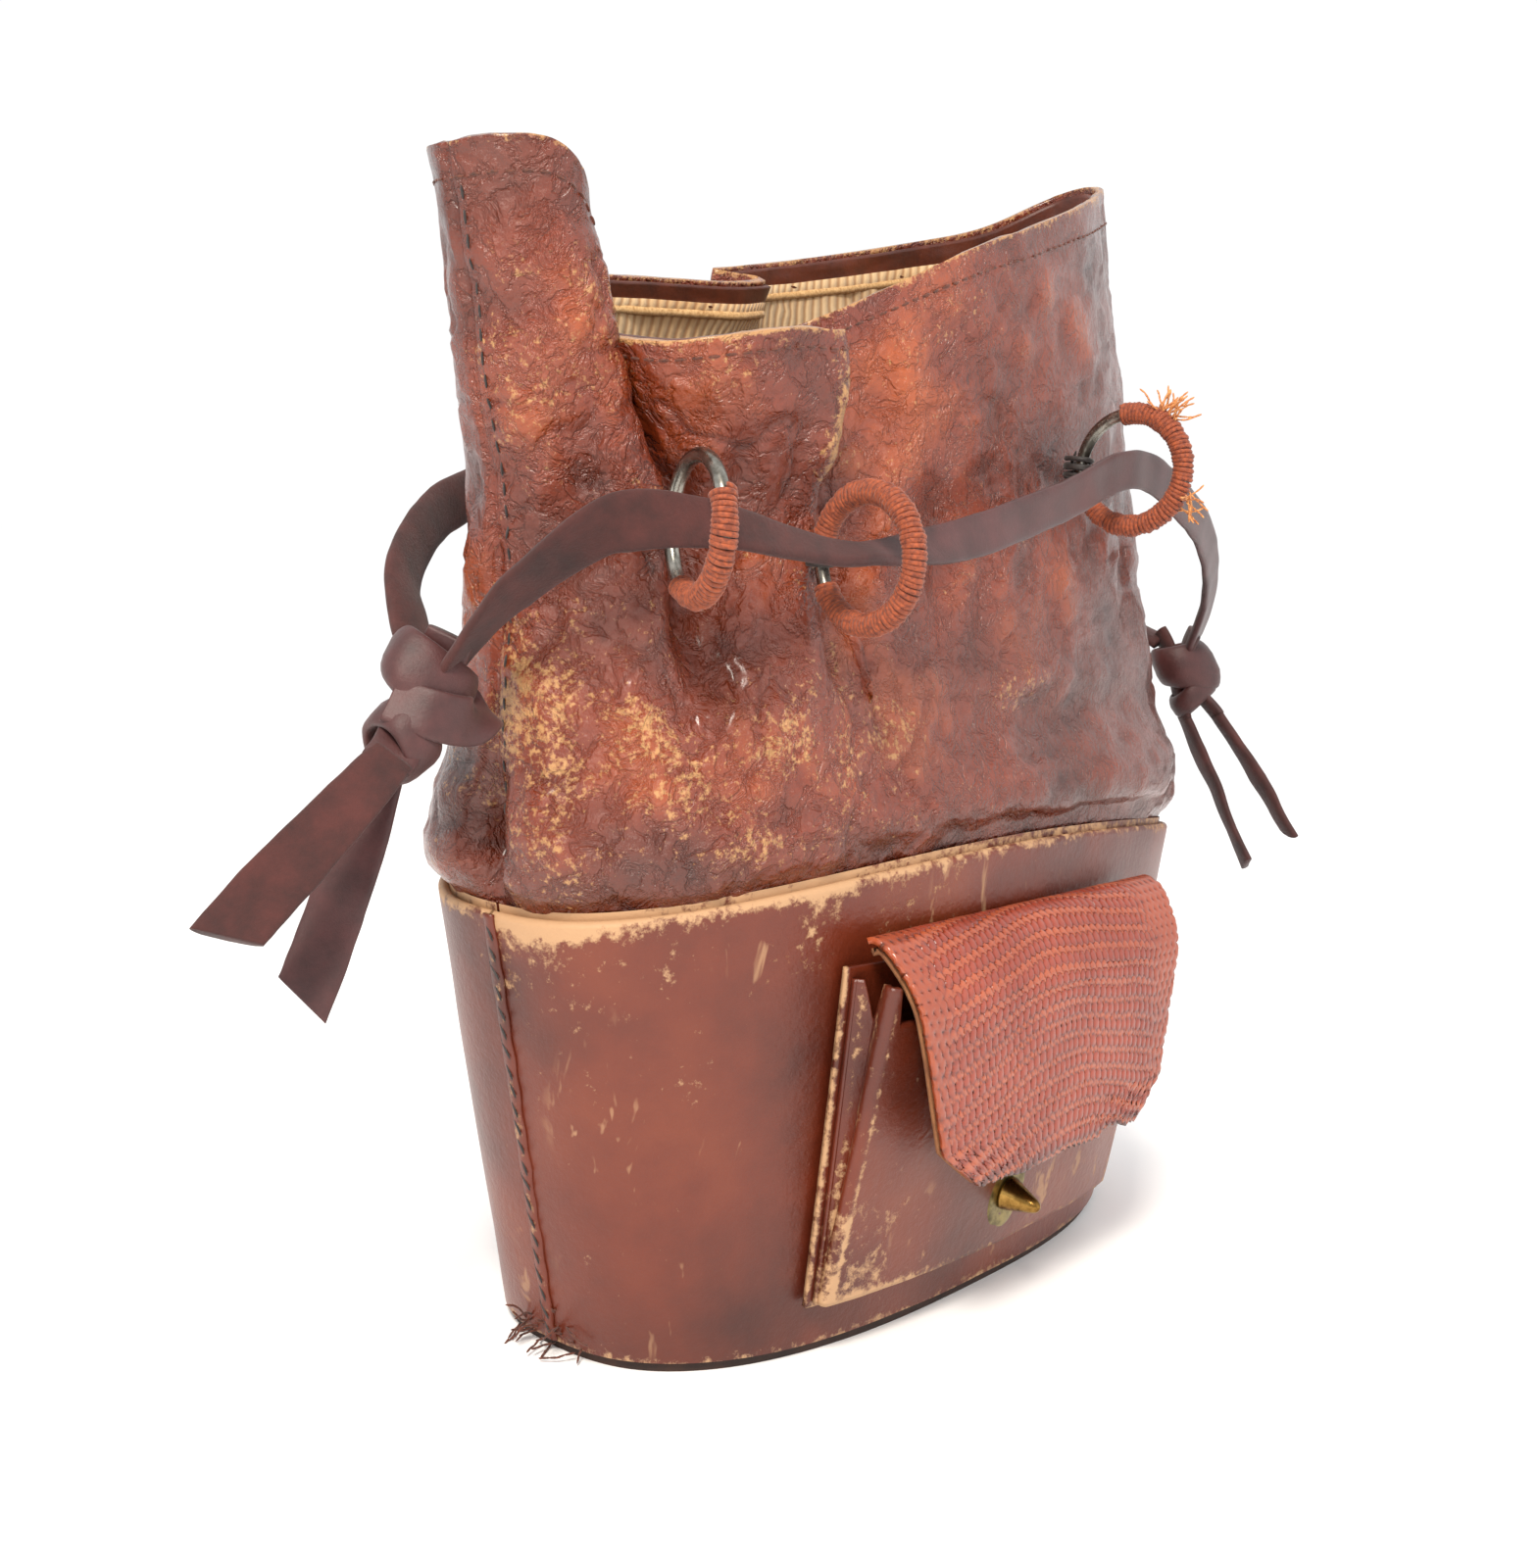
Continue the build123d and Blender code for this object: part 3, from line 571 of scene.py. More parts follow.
# raised strip over an end seam, wavy by a hair, with slanted stitches through it
def makeWelt(name, side, node):
    def place(u, v):
        z = 2.4 + u * 81.2
        halfX, _ = baseHalf(z)
        angle = 2 * np.pi * v
        width = weltFacts["width"] / 2 * (1 + 0.10 * np.sin(z * 0.9) + 0.06 * np.sin(z * 0.37))
        y = width * signedPower(np.cos(angle), 0.7)
        rise = weltFacts["height"] * np.maximum(np.sin(angle), -0.25)
        crown = (halfX + rise + 0.1) - (y / 9) ** 2
        points = np.column_stack([side * crown, y, z])
        wear = 0.20 + 0.10 * np.clip(rise / weltFacts["height"], 0, 1) ** 6 + 0.14 * noiseAt(points, 9, 5.0)
        return points, {"wear": wear}

    bm = gridMesh(130, 16, place, wrapV=True, layers=("wear",))
    closeEnds(bm)
    outwards(bm)
    finishPiece(name, bm, "bag", (node,), cowhide)
    bm = bmesh.new()
    rows = int(80 / weltFacts["pitch"])
    rng = random.Random(11 + side)
    for row in range(rows):
        z = 5 + row * weltFacts["pitch"] + rng.uniform(-0.25, 0.25)
        halfX, _ = baseHalf(z)
        tilt = weltFacts["slant"] + rng.uniform(-0.12, 0.12)
        addStitch(bm, (side * (halfX + 0.80), rng.uniform(-0.3, 0.3), z),
                  (0, -side * math.sin(tilt), math.cos(tilt)), weltFacts["stitch"], weltFacts["thread"])
    finishPiece(name + "Stitches", bm, "bag", (), blackThread)


makeWelt("weltLeft", -1, "welt_left")
makeWelt("weltRight", 1, "welt_right")
print("welts")


# soft upper: both loops run from the left seam along the front to seamPoint, the right seam, and back behind
upperFacts = {"columns": 350, "rows": 112, "thickness": 1.6, "fold": 1.5, "wrinkle": 0.62, "crease": 0.30}
rimLoop = [(-118.5, -5, 205), (-115.5, -13, 206), (-108, -18, 206.5), (-99.5, -16.5, 203), (-95, -12.5, 197),
           (-93.5, -5, 186), (-92, -12, 180), (-90, -24, 178.5), (-83, -33.5, 180), (-72, -37.5, 182),
           (-62, -37, 183), (-57, -32, 183.5), (-54.5, -14, 182), (-50, -18, 185), (-38, -24, 191),
           (-12, -28.5, 203), (12, -27.5, 211), (38, -22.5, 219.5), (60, -13, 226), (70, -7.5, 229),
           (75, -1, 230.5), (74, 9, 228.5), (61, 19, 220.5), (38, 25, 214), (8, 27, 207), (-14, 26.5, 202.5),
           (-24, 24, 200.5), (-17, 18, 199.5), (-30, 15.5, 197), (-58, 15, 194.5), (-82, 13, 192),
           (-93, 8, 192), (-99, 10.5, 199), (-107, 9, 205), (-115, 3, 205.5)]
waistLoop = [(-102.5, -1), (-101, -9), (-97, -14), (-91, -19.5), (-85, -22), (-79, -19), (-76, -22),
             (-72, -27), (-67, -29.5), (-61, -31), (-55, -30.5), (-50, -27.5), (-46.5, -21), (-43, -26),
             (-33, -30), (-10, -32), (15, -32), (42, -29.5), (70, -22), (87, -12), (93.5, -1), (88, 11),
             (72, 21), (42, 27), (10, 29), (-14, 29), (-24, 28), (-30, 26.5), (-40, 26), (-58, 25),
             (-76, 22), (-86, 18.5), (-92, 15.5), (-98, 10.5), (-102, 4.5)]
seamPoint = 20
loopEnd = len(rimLoop)
# front dents and folds: x, z, reach in x, reach in z, height
frontFolds = [(-75, 115, 20, 11, 3.2), (-77, 136, 4.5, 13, -4.0), (-50, 130, 3.0, 8, -2.6),
              (-43, 128, 4, 10, 1.7), (-58, 132, 4, 10, 1.5), (20, 124, 42, 3.6, 1.6),
              (20, 116, 42, 3.2, -1.5), (35, 95.5, 55, 2.4, -2.2), (55, 104, 34, 5.5, 2.2),
              (-30, 145, 7, 16, 1.6), (-20, 140, 4, 14, -1.6), (4, 142, 6, 18, 1.2),
              (-51, 164, 3.2, 20, -4.2), (-58.5, 168, 3.4, 18, 2.4), (48, 165, 8, 26, 1.5),
              (58, 150, 5, 22, -1.6), (-36, 172, 5, 16, -1.8), (-103, 180, 5, 20, 1.0)]
rearFolds = [(-70, 112, 24, 10, 2.4), (-10, 116, 30, 8, 1.6), (50, 110, 30, 8, 2.0), (-58, 138, 4, 16, -2.6),
             (-20, 140, 4, 16, -2.4), (14, 138, 4, 18, -2.2), (56, 136, 4, 15, -2.4), (20, 100, 70, 3, -1.4)]
# where the finish has rubbed off the front: x, z, reach in x, reach in z, amount
frontWear = [(-98, 120, 9, 30, 0.13), (-80, 116, 22, 12, 0.12), (-52, 108, 22, 9, 0.09),
             (-58, 170, 3, 16, 0.27), (-70, 97, 26, 5, 0.12), (15, 121, 42, 5, 0.10),
             (-104, 178, 12, 28, 0.09), (-58, 140, 8, 14, 0.08), (70, 110, 22, 9, 0.08),
             (-34, 150, 8, 18, 0.06)]
fineS = np.linspace(0, loopEnd, 1401)
finePath = loopThrough(np.array(waistLoop, float), fineS)
fineRun = runAlong(finePath)
halfRun = np.interp(seamPoint, fineS, fineRun)
fineShare = np.where(fineS <= seamPoint, 0.5 * fineRun / halfRun,
                     0.5 + 0.5 * (fineRun - halfRun) / (fineRun[-1] - halfRun))
levelBreaks = np.array([0, 0.025, 0.085, 0.25, 0.50, 0.74, 1.0])


# the upper before it creases: s runs from 0 to loopEnd round the loops, v from the ridge to the rim
def smoothUpper(s, v):
    s = np.mod(s, loopEnd)
    rim = loopThrough(np.array(rimLoop, float), s)
    waist = loopThrough(np.array(waistLoop, float), s)
    angle = np.interp(np.interp(s, fineS, fineShare), evenRun, evenAngle)
    levels = []
    for lift, halfX, halfY in ((-1.0, 96.5, 39.0), (2.0, 98.0, 40.6), (9.5, 101.5, 43.2)):
        ring = superellipse(angle, halfX, halfY)
        levels.append(np.column_stack([ring, ridgeHeight(ring[:, 0] * baseFacts["ridgeX"] / halfX) + lift]))
    wide = superellipse(angle, 98.0, 39.5)
    levels.append(np.column_stack([0.7 * wide + 0.3 * waist, np.full(len(s), 118.0)]))
    levels.append(np.column_stack([waist, np.full(len(s), 150.0)]))
    levels.append(0.5 * levels[-1] + 0.5 * rim)
    levels.append(rim)
    stack = np.array(levels)
    k = np.clip(np.searchsorted(levelBreaks, v, side="right") - 1, 0, 5)
    t = ((v - levelBreaks[k]) / (levelBreaks[k + 1] - levelBreaks[k]))[:, None]
    each = np.arange(len(s))
    p = [stack[np.clip(k + step, 0, 6), each] for step in (-1, 0, 1, 2)]
    return blend(p, t)


# headings away from the bag
def upperNormals(s, v):
    along = smoothUpper(s + 0.12, v) - smoothUpper(s - 0.12, v)
    up = smoothUpper(s, np.minimum(v + 0.012, 1)) - smoothUpper(s, np.maximum(v - 0.012, 0))
    away = np.cross(along, up)
    return away / np.maximum(np.linalg.norm(away, axis=1), 1e-6)[:, None]


def bump(points, x, z, reachX, reachZ):
    return np.exp(-((points[:, 0] - x) / reachX) ** 2 - ((points[:, 2] - z) / reachZ) ** 2)


# height of the folds and wrinkles over the smooth upper, and how much of it is fine
def upperRelief(points, s, v):
    front = (np.mod(s, loopEnd) < seamPoint).astype(float)
    seamSide = np.minimum(np.mod(s, loopEnd), loopEnd - np.mod(s, loopEnd))
    away = np.clip(v / 0.04, 0, 1)
    folds = np.zeros(len(points))
    for x, z, reachX, reachZ, height in frontFolds:
        folds += front * height * bump(points, x, z, reachX, reachZ)
    for x, z, reachX, reachZ, height in rearFolds:
        folds += (1 - front) * height * bump(points, x, z, reachX, reachZ)
    folds -= 5.0 * np.exp(-(seamSide / 0.42) ** 2) * np.exp(-((points[:, 2] - 97) / 11) ** 2)
    folds += 2.4 * np.exp(-((seamSide - 1.5) / 1.0) ** 2) * np.exp(-((points[:, 2] - 99) / 9) ** 2)
    folds -= 0.9 * np.exp(-(seamSide / 0.13) ** 2)
    gathered = np.exp(-((points[:, 2] - 148) / 22) ** 2)
    low = np.exp(-((points[:, 2] - 96) / 12) ** 2)
    upright = points * np.array([1, 1, 0.38])
    level = points * np.array([0.5, 0.5, 1.5])
    fine = upperFacts["fold"] * noiseAt(points, 30, 2.0, 2) * 0.8
    fine += gathered * 1.5 * noiseAt(upright, 9, 5.5, 2) + low * 1.1 * noiseAt(level, 10, 9.5, 2)
    ridged = 1 - np.abs(noiseAt(points, 9, 14.0, 3)) * 2.2
    fine += upperFacts["wrinkle"] * noiseAt(points, 8.5, 7.0, 2) + upperFacts["crease"] * ridged
    fine -= 0.55 * np.clip(1 - np.abs(noiseAt(points, 13, 17.0, 2)) * 9, 0, 1)
    calm = 1 - 0.75 * np.clip((v - 0.9) / 0.1, 0, 1)
    return away * (folds + fine * calm), fine


# the creased upper, moved in by inset
def upperSurface(s, v, inset=0.0):
    smooth = smoothUpper(s, v)
    height, fine = upperRelief(smooth, s, v)
    return smooth + upperNormals(s, v) * (height - inset)[:, None], fine, smooth


def makeUpper():
    def place(u, v):
        s = u * loopEnd
        points, fine, smooth = upperSurface(s, v)
        front = (s < seamPoint).astype(float)
        wear = 0.185 + 0.13 * noiseAt(smooth, 11, 31.0, 3) + 0.07 * np.clip(fine, -1.5, 1.8)
        for x, z, reachX, reachZ, amount in frontWear:
            wear += front * amount * bump(smooth, x, z, reachX, reachZ)
        wear += 0.13 * (1 - front) * np.exp(-((smooth[:, 2] - 112) / 16) ** 2)
        wear += 0.26 * np.clip((v - 0.972) / 0.028, 0, 1) - 0.16 * np.clip(smooth[:, 0] / 90, 0,
                                                                           1) * (v < 0.95)
        # tone: random cloud, painted shade darker in the creases of the fine relief and painted light on its
        # crowns; also darker towards the right and towards the base
        toneAndPaintedShade = 0.30 + 0.16 * noiseAt(smooth, 26, 41.0, 2) + 0.14 * np.clip(fine, -1.6, 1.6)
        toneAndPaintedShade -= 0.10 * np.clip((smooth[:, 0] + 20) / 100, 0,
                               1) + 0.16 * np.clip(1 - (smooth[:, 2] - 84) / 22, 0, 1)
        # painted shade: the fold beside the lobe is painted darker
        toneAndPaintedShade -= 0.45 * front * bump(smooth, -50, 170, 4.5, 26)
        return points, {"wear": wear, "toneAndPaintedShade": toneAndPaintedShade}

    bm = gridMesh(upperFacts["columns"], upperFacts["rows"], place, wrapU=True, layers=("wear", "toneAndPaintedShade"))
    outwards(bm)
    piece = finishPiece("upperSkin", bm, "bag",
                        ("upper_front", "upper_rear", "upper_seam_left", "upper_seam_right"),
                        calf)
    solidify(piece, upperFacts["thickness"])


makeUpper()
print("upper")


# facing inside the rim, its piping, and the lining that hangs from it
mouthFacts = {"facingTop": 0.985, "facingLow": 0.915, "hem": 0.935, "hemPitch": 2.7, "hemStitch": 1.9,
              "thread": 0.24}


def makeFacing():
    def place(u, v):
        s = u * loopEnd
        depth = mouthFacts["facingLow"] + v * (mouthFacts["facingTop"] - mouthFacts["facingLow"])
        points, *_ = upperSurface(s, depth, 2.0)
        return points, {}

    bm = gridMesh(280, 8, place, wrapU=True)
    outwards(bm)
    piece = finishPiece("rimFacing", bm, "bag", ("rim_facing",), facingHide)
    solidify(piece, 1.0)

    def placePiping(u, v):
        s = u * loopEnd
        angle = 2 * np.pi * v
        points, *_ = upperSurface(s, np.full(len(s), mouthFacts["facingLow"]), 2.0)
        inward = -upperNormals(s, np.full(len(s), mouthFacts["facingLow"]))
        points = points + inward * (0.9 + 0.9 * np.cos(angle))[:, None]
        points[:, 2] += 0.9 * np.sin(angle)
        return points, {}

    bm = gridMesh(280, 8, placePiping, wrapU=True, wrapV=True)
    outwards(bm)
    finishPiece("liningPiping", bm, "bag", (), paleThread)


def makeLining():
    def place(u, v):
        s = u * loopEnd
        angle = np.interp(np.interp(s, fineS, fineShare), evenRun, evenAngle)
        inBase = v < 0.42
        high = np.clip((v - 0.42) / 0.58, 0, 1) * 0.93 + 0.01 * (v >= 0.42)
        points, *_ = upperSurface(s, np.maximum(high, 0.01), 2.6)
        share = np.clip(v / 0.42, 0, 1)
        z = 4.2 + share * 80
        halfX, halfY = baseHalf(z)
        low = np.column_stack([superellipse(angle, halfX - 5.2, halfY - 5.2), z])
        return np.where(inBase[:, None], low, points), {}

    bm = gridMesh(240, 90, place, wrapU=True, uvSize=(430.0, 200.0))
    outwards(bm)
    bottom = [e for e in bm.edges if e.is_boundary and e.verts[0].co.z < 6]
    bmesh.ops.holes_fill(bm, edges=bottom, sides=0)
    piece = finishPiece("liningBag", bm, "bag", ("lining_bag",), lining)
    solidify(piece, 0.6)


# stitches at even steps along a path
def stitchAlong(bm, path, pitch, length, radius):
    run = runAlong(path)
    for at in np.arange(0, run[-1], pitch):
        here, ahead = ([np.interp(place, run, path[:, k]) for k in range(3)] for place in (at, at + 0.4))
        addStitch(bm, here, np.subtract(ahead, here), length, radius)


# hem stitches 6 mm under the rim, and the stitches beside both seams
def makeHemStitches():
    steps = np.linspace(0, loopEnd, 1600)
    path, *_ = upperSurface(steps, np.full(len(steps), mouthFacts["hem"]), -0.03)
    bm = bmesh.new()
    stitchAlong(bm, path, mouthFacts["hemPitch"], mouthFacts["hemStitch"], mouthFacts["thread"])
    finishPiece("hemStitches", bm, "bag", (), brownThread)
    bm = bmesh.new()
    for seam in (0.0, float(seamPoint)):
        rise = np.linspace(0.10, 0.93, 900)
        path, *_ = upperSurface(np.full(len(rise), seam + 0.32), rise, -0.05)
        stitchAlong(bm, path, 3.6, 2.2, 0.25)
    finishPiece("seamStitches", bm, "bag", (), blackThread)


makeFacing()
makeLining()
makeHemStitches()
print("facing, lining and stitches")


# rings: steel wire, wound with thread over part of its round, held by a waxed loop
ringFacts = {"radius": 11.0, "wire": 2.5, "thread": 0.5, "pitch": 0.82, "tie": 0.5, "tieTurns": 4}
# where the winding starts and ends, in degrees over the top from the tie
windings = {"front_left": (150, 300), "front_middle": (18, 332), "front_right": (75, 318),
            "rear_left": (100, 290), "rear_middle": (60, 300), "rear_right": (110, 300)}


def ringFrame(key):
    centre = boxCentre("ring_" + key)
    pin = boxCentre("tie_" + key)
    inwards = (pin - centre)
    inwards.z = 0
    inwards.normalize()
    return np.array(centre), np.array(pin), np.array(inwards)


def makeRing(key):
    centre, pin, inwards = ringFrame(key)
    upward = np.array([0.0, 0, 1])
    side = np.cross(inwards, upward)
    body = key + "_ring"

    def onRing(angle, radius):
        return centre + radius[:, None] * (inwards * np.cos(angle)[:, None] + upward * np.sin(angle)[:,
                                                                                                     None])

    def placeWire(u, v):
        around, tube = 2 * np.pi * u, 2 * np.pi * v
        radius = ringFacts["radius"] + ringFacts["wire"] / 2 * np.cos(tube)
        return onRing(around, radius) + side * (ringFacts["wire"] / 2 * np.sin(tube))[:, None], {}

    bm = gridMesh(96, 18, placeWire, wrapU=True, wrapV=True)
    outwards(bm)
    finishPiece("ring_" + key, bm, body, ("ring_" + key,), steel)

    start, end = (math.radians(a) for a in windings[key])
    turns = int((end - start) * ringFacts["radius"] / ringFacts["pitch"])
    seed = sum(ord(c) for c in key)
    rng = np.random.default_rng(seed)
    swell = rng.uniform(-0.12, 0.22, turns + 2)
    slip = rng.uniform(-0.012, 0.012, turns + 2)

    def placeThread(u, v):
        run = u * turns
        around, tube = 2 * np.pi * run, 2 * np.pi * v
        grow = between(run, swell)
        angle = start + (end - start) * u + between(run, slip)
        reach = ringFacts["wire"] / 2 + ringFacts["thread"] * 0.8 + grow + ringFacts["thread"] * np.cos(tube)
        radius = ringFacts["radius"] + reach * np.cos(around)
        along = -inwards * np.sin(angle)[:, None] + upward * np.cos(angle)[:, None]
        return (onRing(angle, radius) + side * (reach * np.sin(around))[:, None]
                + along * (ringFacts["thread"] * np.sin(tube))[:, None]), {}

    bm = gridMesh(turns * 14, 7, placeThread, wrapV=True)
    closeEnds(bm)
    outwards(bm)
    finishPiece("winding_" + key, bm, body, ("wrap_" + key,), rustThread)

    def placeTie(u, v):
        around, tube = 2 * np.pi * ringFacts["tieTurns"] * u, 2 * np.pi * v
        middle = pin + inwards * 0.75
        reach = 2.0 + ringFacts["tie"] * np.cos(tube)
        out = inwards * (np.cos(around) * (reach + 0.75))[:, None] + side * (np.sin(around) * reach)[:, None]
        rise = (u - 0.5) * 3.6 + ringFacts["tie"] * np.sin(tube) + 0.3 * np.sin(around * 0.5 + seed)
        return middle + out + upward * rise[:, None], {}

    bm = gridMesh(20 * ringFacts["tieTurns"], 8, placeTie, wrapV=True)
    closeEnds(bm)
    rnd = random.Random(seed)
    for _ in range(5):
        lean = Vector((rnd.uniform(-1, 1), rnd.uniform(-0.4, 0.4), rnd.uniform(-1, 1)))
        near = Vector(pin + inwards * rnd.uniform(0.6, 2.2) + upward * rnd.uniform(-2.2, 2.2))
        addStitch(bm, near, lean + Vector(-inwards) * 0.4, rnd.uniform(2.6, 5.0), 0.34)
    outwards(bm)
    finishPiece("tie_" + key, bm, "bag", ("tie_" + key,), blackThread)


for key in windings:
    makeRing(key)


# loose ends of a worn winding, curling off the right front ring
def makeFray(name, key, body, places, count, reach, seed):
    centre, _, inwards = ringFrame(key)
    loose = ringFacts["radius"] + 1.8
    rng = np.random.default_rng(seed)
    bm = bmesh.new()
    for index in range(count):
        angle = math.radians(places[index % len(places)] + rng.uniform(-9, 9))
        root = centre + loose * (inwards * math.cos(angle) + np.array([0, 0, 1]) * math.sin(angle))
        root = root + rng.uniform(-0.8, 0.8, 3)
        heading = (root - centre) / loose + rng.uniform(-0.7, 0.7, 3)
        for _ in range(5):
            heading = heading / np.linalg.norm(heading) + rng.uniform(-0.4, 0.4, 3)
            step = reach / 5
            addStitch(bm, root + heading * step * 0.5, heading, step * 1.5, 0.20)
            root = root + heading / np.linalg.norm(heading) * step
    finishPiece(name, bm, body, (), frayThread)


makeFray("frayedWinding", "front_right", "front_right_ring", (118, 126, 205), 34, 5.0, 7)
print("rings")


# laces: flat strips of split hide, suede on one face and smooth on the other
laceFacts = {"width": 9.5, "thick": 2.0, "cup": 0.5}
frontLacePoints = [(-113, -4, 126), (-110, -14, 138), (-102, -27, 149.5), (-90, -35.3, 150.5),
                   (-75, -40.5, 148), (-59, -44.6, 146.5), (-36, -46.5, 149.5), (-6, -47, 157),
                   (24, -46, 165), (50, -43, 160), (76, -37, 151), (97, -28, 139), (107, -20, 128)]
rearLacePoints = [(-112, 4, 126), (-106, 16, 139), (-88, 29, 150), (-62, 38, 157), (-30, 42, 160.5),
                  (4, 43, 161), (36, 41.5, 159), (58, 39.5, 156), (80, 35, 152.5), (98, 23, 144),
                  (106, 6, 134), (108, -11, 127)]


# a strip along points; at each point spins turns its broad face about its run and wides scales its width
def ribbon(points, spins, wides, columns, faces=(0.0, -1.0, 0.0), smoothSide=None, seed=1.0, pointed=0.0):
    points = np.asarray(points, float)
    last = len(points) - 1
    smoothSide = smoothSide or [0.0] * (last + 1)

    def place(u, v):
        at = u * last
        middle = loopThrough(points, at, closed=False)
        run = headingAt(points, at, 0.03)
        across = np.cross(run, faces)
        across /= np.linalg.norm(across, axis=1)[:, None]
        facing = np.cross(across, run)
        spin = np.radians(between(at, spins))[:, None]
        across, facing = (across * np.cos(spin) + facing * np.sin(spin),
                          facing * np.cos(spin) - across * np.sin(spin))
        wide = between(at, wides)
        angle = 2 * np.pi * v
        flat = signedPower(np.cos(angle), 0.55)
        deep = signedPower(np.sin(angle), 0.75)
        middle = middle + facing * (0.5 * noiseAt(middle, 14, seed))[:, None]
        edge = laceFacts["width"] / 2 * wide * (1 + 0.06 * noiseAt(middle + flat[:, None] * 20, 8, seed + 3))
        swell = laceFacts["thick"] / 2 * (1 + 0.6 * np.clip(1 / np.maximum(wide, 0.4) - 1, 0, 1))
        shape = middle + across * (flat * edge)[:, None]
        shape = shape + facing * (deep * swell + laceFacts["cup"] * flat ** 2)[:, None]
        if pointed:
            shape = shape + run * (pointed * flat * np.clip((u - 0.8) / 0.2, 0, 1))[:, None]
        grain = between(at, smoothSide) * (deep > -0.2) + (deep <= -0.2) * 0.2
        return shape, {"grainSide": grain}

    bm = gridMesh(columns, 20, place, wrapV=True, layers=("grainSide",))
    closeEnds(bm)
    outwards(bm)
    return bm


def joinMeshes(target, source):
    mesh = bpy.data.meshes.new("part")
    source.to_mesh(mesh)
    source.free()
    target.from_mesh(mesh)
    bpy.data.meshes.remove(mesh)


frontSpins = [-30, -14, -5, 10, 30, 70, 20, -8, 0, 0, 0, 0, 0]
frontWides = [0.9, 1.02, 1.05, 0.85, 0.62, 0.60, 0.80, 0.82, 0.80, 0.85, 0.9, 0.9, 0.8]
frontSmooth = [0, 0, 0, 0, 0.1, 0.6, 1, 1, 1, 1, 1, 1, 1]
bm = ribbon(frontLacePoints, frontSpins, frontWides, 260, smoothSide=frontSmooth)
finishPiece("frontLace", bm, "bag", ("front_thong",), laceHide)
bm = ribbon(rearLacePoints, [0] * 12, [0.9, 1, 1, 0.95, 0.85, 0.9, 0.9, 0.9, 0.85, 0.95, 1, 0.8], 240,
            faces=(0, 1, 0), seed=4.0)
finishPiece("rearLace", bm, "bag", ("rear_thong",), laceHide)


# one turn of lace round an axis, flattened, as a cuff of a knot
def cuff(centre, axis, toward, radii, width, seed, tilt):
    axis = np.array(Vector(axis).normalized())
    first = np.array(toward, float)
    first = first - axis * np.dot(first, axis)
    first /= np.linalg.norm(first)
    second = np.cross(axis, first)

    def place(u, v):
        around, section = 2 * np.pi * u, 2 * np.pi * v
        flat = signedPower(np.cos(section), 0.6)
        deep = signedPower(np.sin(section), 0.8)
        middle = np.array(centre) + first * (radii[0] * np.cos(around))[:, None]
        middle = middle + second * (radii[1] * np.sin(around))[:, None]
        away = first * (np.cos(around) / radii[0])[:, None] + second * (np.sin(around) / radii[1])[:, None]
        away /= np.linalg.norm(away, axis=1)[:, None]
        half = width / 2 * (1 + 0.14 * np.sin(around + seed))
        bulge = laceFacts["thick"] / 2 * deep - 0.16 * half * flat ** 2
        lean = tilt * np.sin(around + seed * 1.3)
        points = middle + axis * (flat * half + lean)[:, None] + away * bulge[:, None]
        points = points + away * (0.45 * noiseAt(points, 6, seed, 2))[:, None]
        return points, {"grainSide": np.where(deep > -0.3, 0.85, 0.1)}

    bm = gridMesh(72, 18, place, wrapU=True, wrapV=True, layers=("grainSide",))
    outwards(bm)
    return bm


# each knot: its cuffs (centre, axis, toward, radii, width, seed, tilt), the heading its strands face, the
# first strand's seed, and the strands (points, turns, width share, share of the smooth side)
knots = {"left": ([((-114.5, -0.5, 124.0), (-0.50, 0.10, -0.86), (1, -0.3, 0), (7.4, 5.4), 10.0, 0.4, 1.6),
                   ((-120.5, -1.2, 114.5), (-0.80, 0.05, -0.60), (0.5, -0.8, -0.3), (5.4, 5.0), 7.5, 2.2,
                    1.2)], (-0.76, -0.63, 0.14), 2.0,
                  [([(-113, -4, 131), (-114, -1.5, 125), (-118, -1, 118), (-123.5, -3.6, 113),
                     (-126, -4.4, 111)], [0, 10, 20, 10, 0], 0.85, 0.9),
                   ([(-112, 4, 130), (-113, 2, 124), (-117, 1.5, 117), (-119.4, 3.5, 110.8),
                     (-120.2, 4.1, 107.7)], [0, -15, -20, 0, 0], 0.8, 0.2),
                   ([(-106, -4, 118.5), (-112, -7.2, 117.5), (-119, -6.6, 119), (-123, -1.5, 121)],
                    [25, 10, -10, -20], 0.85, 0.9)]),
         "right": ([((108.5, -17.5, 121.5), (0.25, -0.35, -0.90), (0.63, -0.77, 0), (6.4, 5.2), 11.0, 1.1,
                     1.8), ((110.0, -19.5, 114.5), (0.45, -0.45, -0.77), (0.63, -0.77, 0), (5.2, 4.4), 6.5,
                            3.0, 1.0)], (0.63, -0.77, 0), 6.0,
                   [([(107, -20, 130), (108, -18, 124), (110, -20, 116), (112.5, -25, 109.5)], [0, 0, 0, 0],
                     0.8, 0.8), ([(108, -10, 129), (108, -14, 123), (108.8, -16, 115), (109.5, -18, 108.5)],
                                 [0, 0, 0, 0], 0.8, 0.3)])}


def makeKnot(hand, cuffs, faces, seed, strands):
    bm = cuff(*cuffs[0])
    joinMeshes(bm, cuff(*cuffs[1]))
    for index, (points, spins, wide, smooth) in enumerate(strands):
        joinMeshes(bm, ribbon(points, spins, [wide] * len(points), 40, faces=faces,
                              smoothSide=[smooth] * len(points), seed=index + seed))
    finishPiece(hand + "Knot", bm, "bag", (hand + "_knot",), laceHide)


for hand, facts in knots.items():
    makeKnot(hand, *facts)

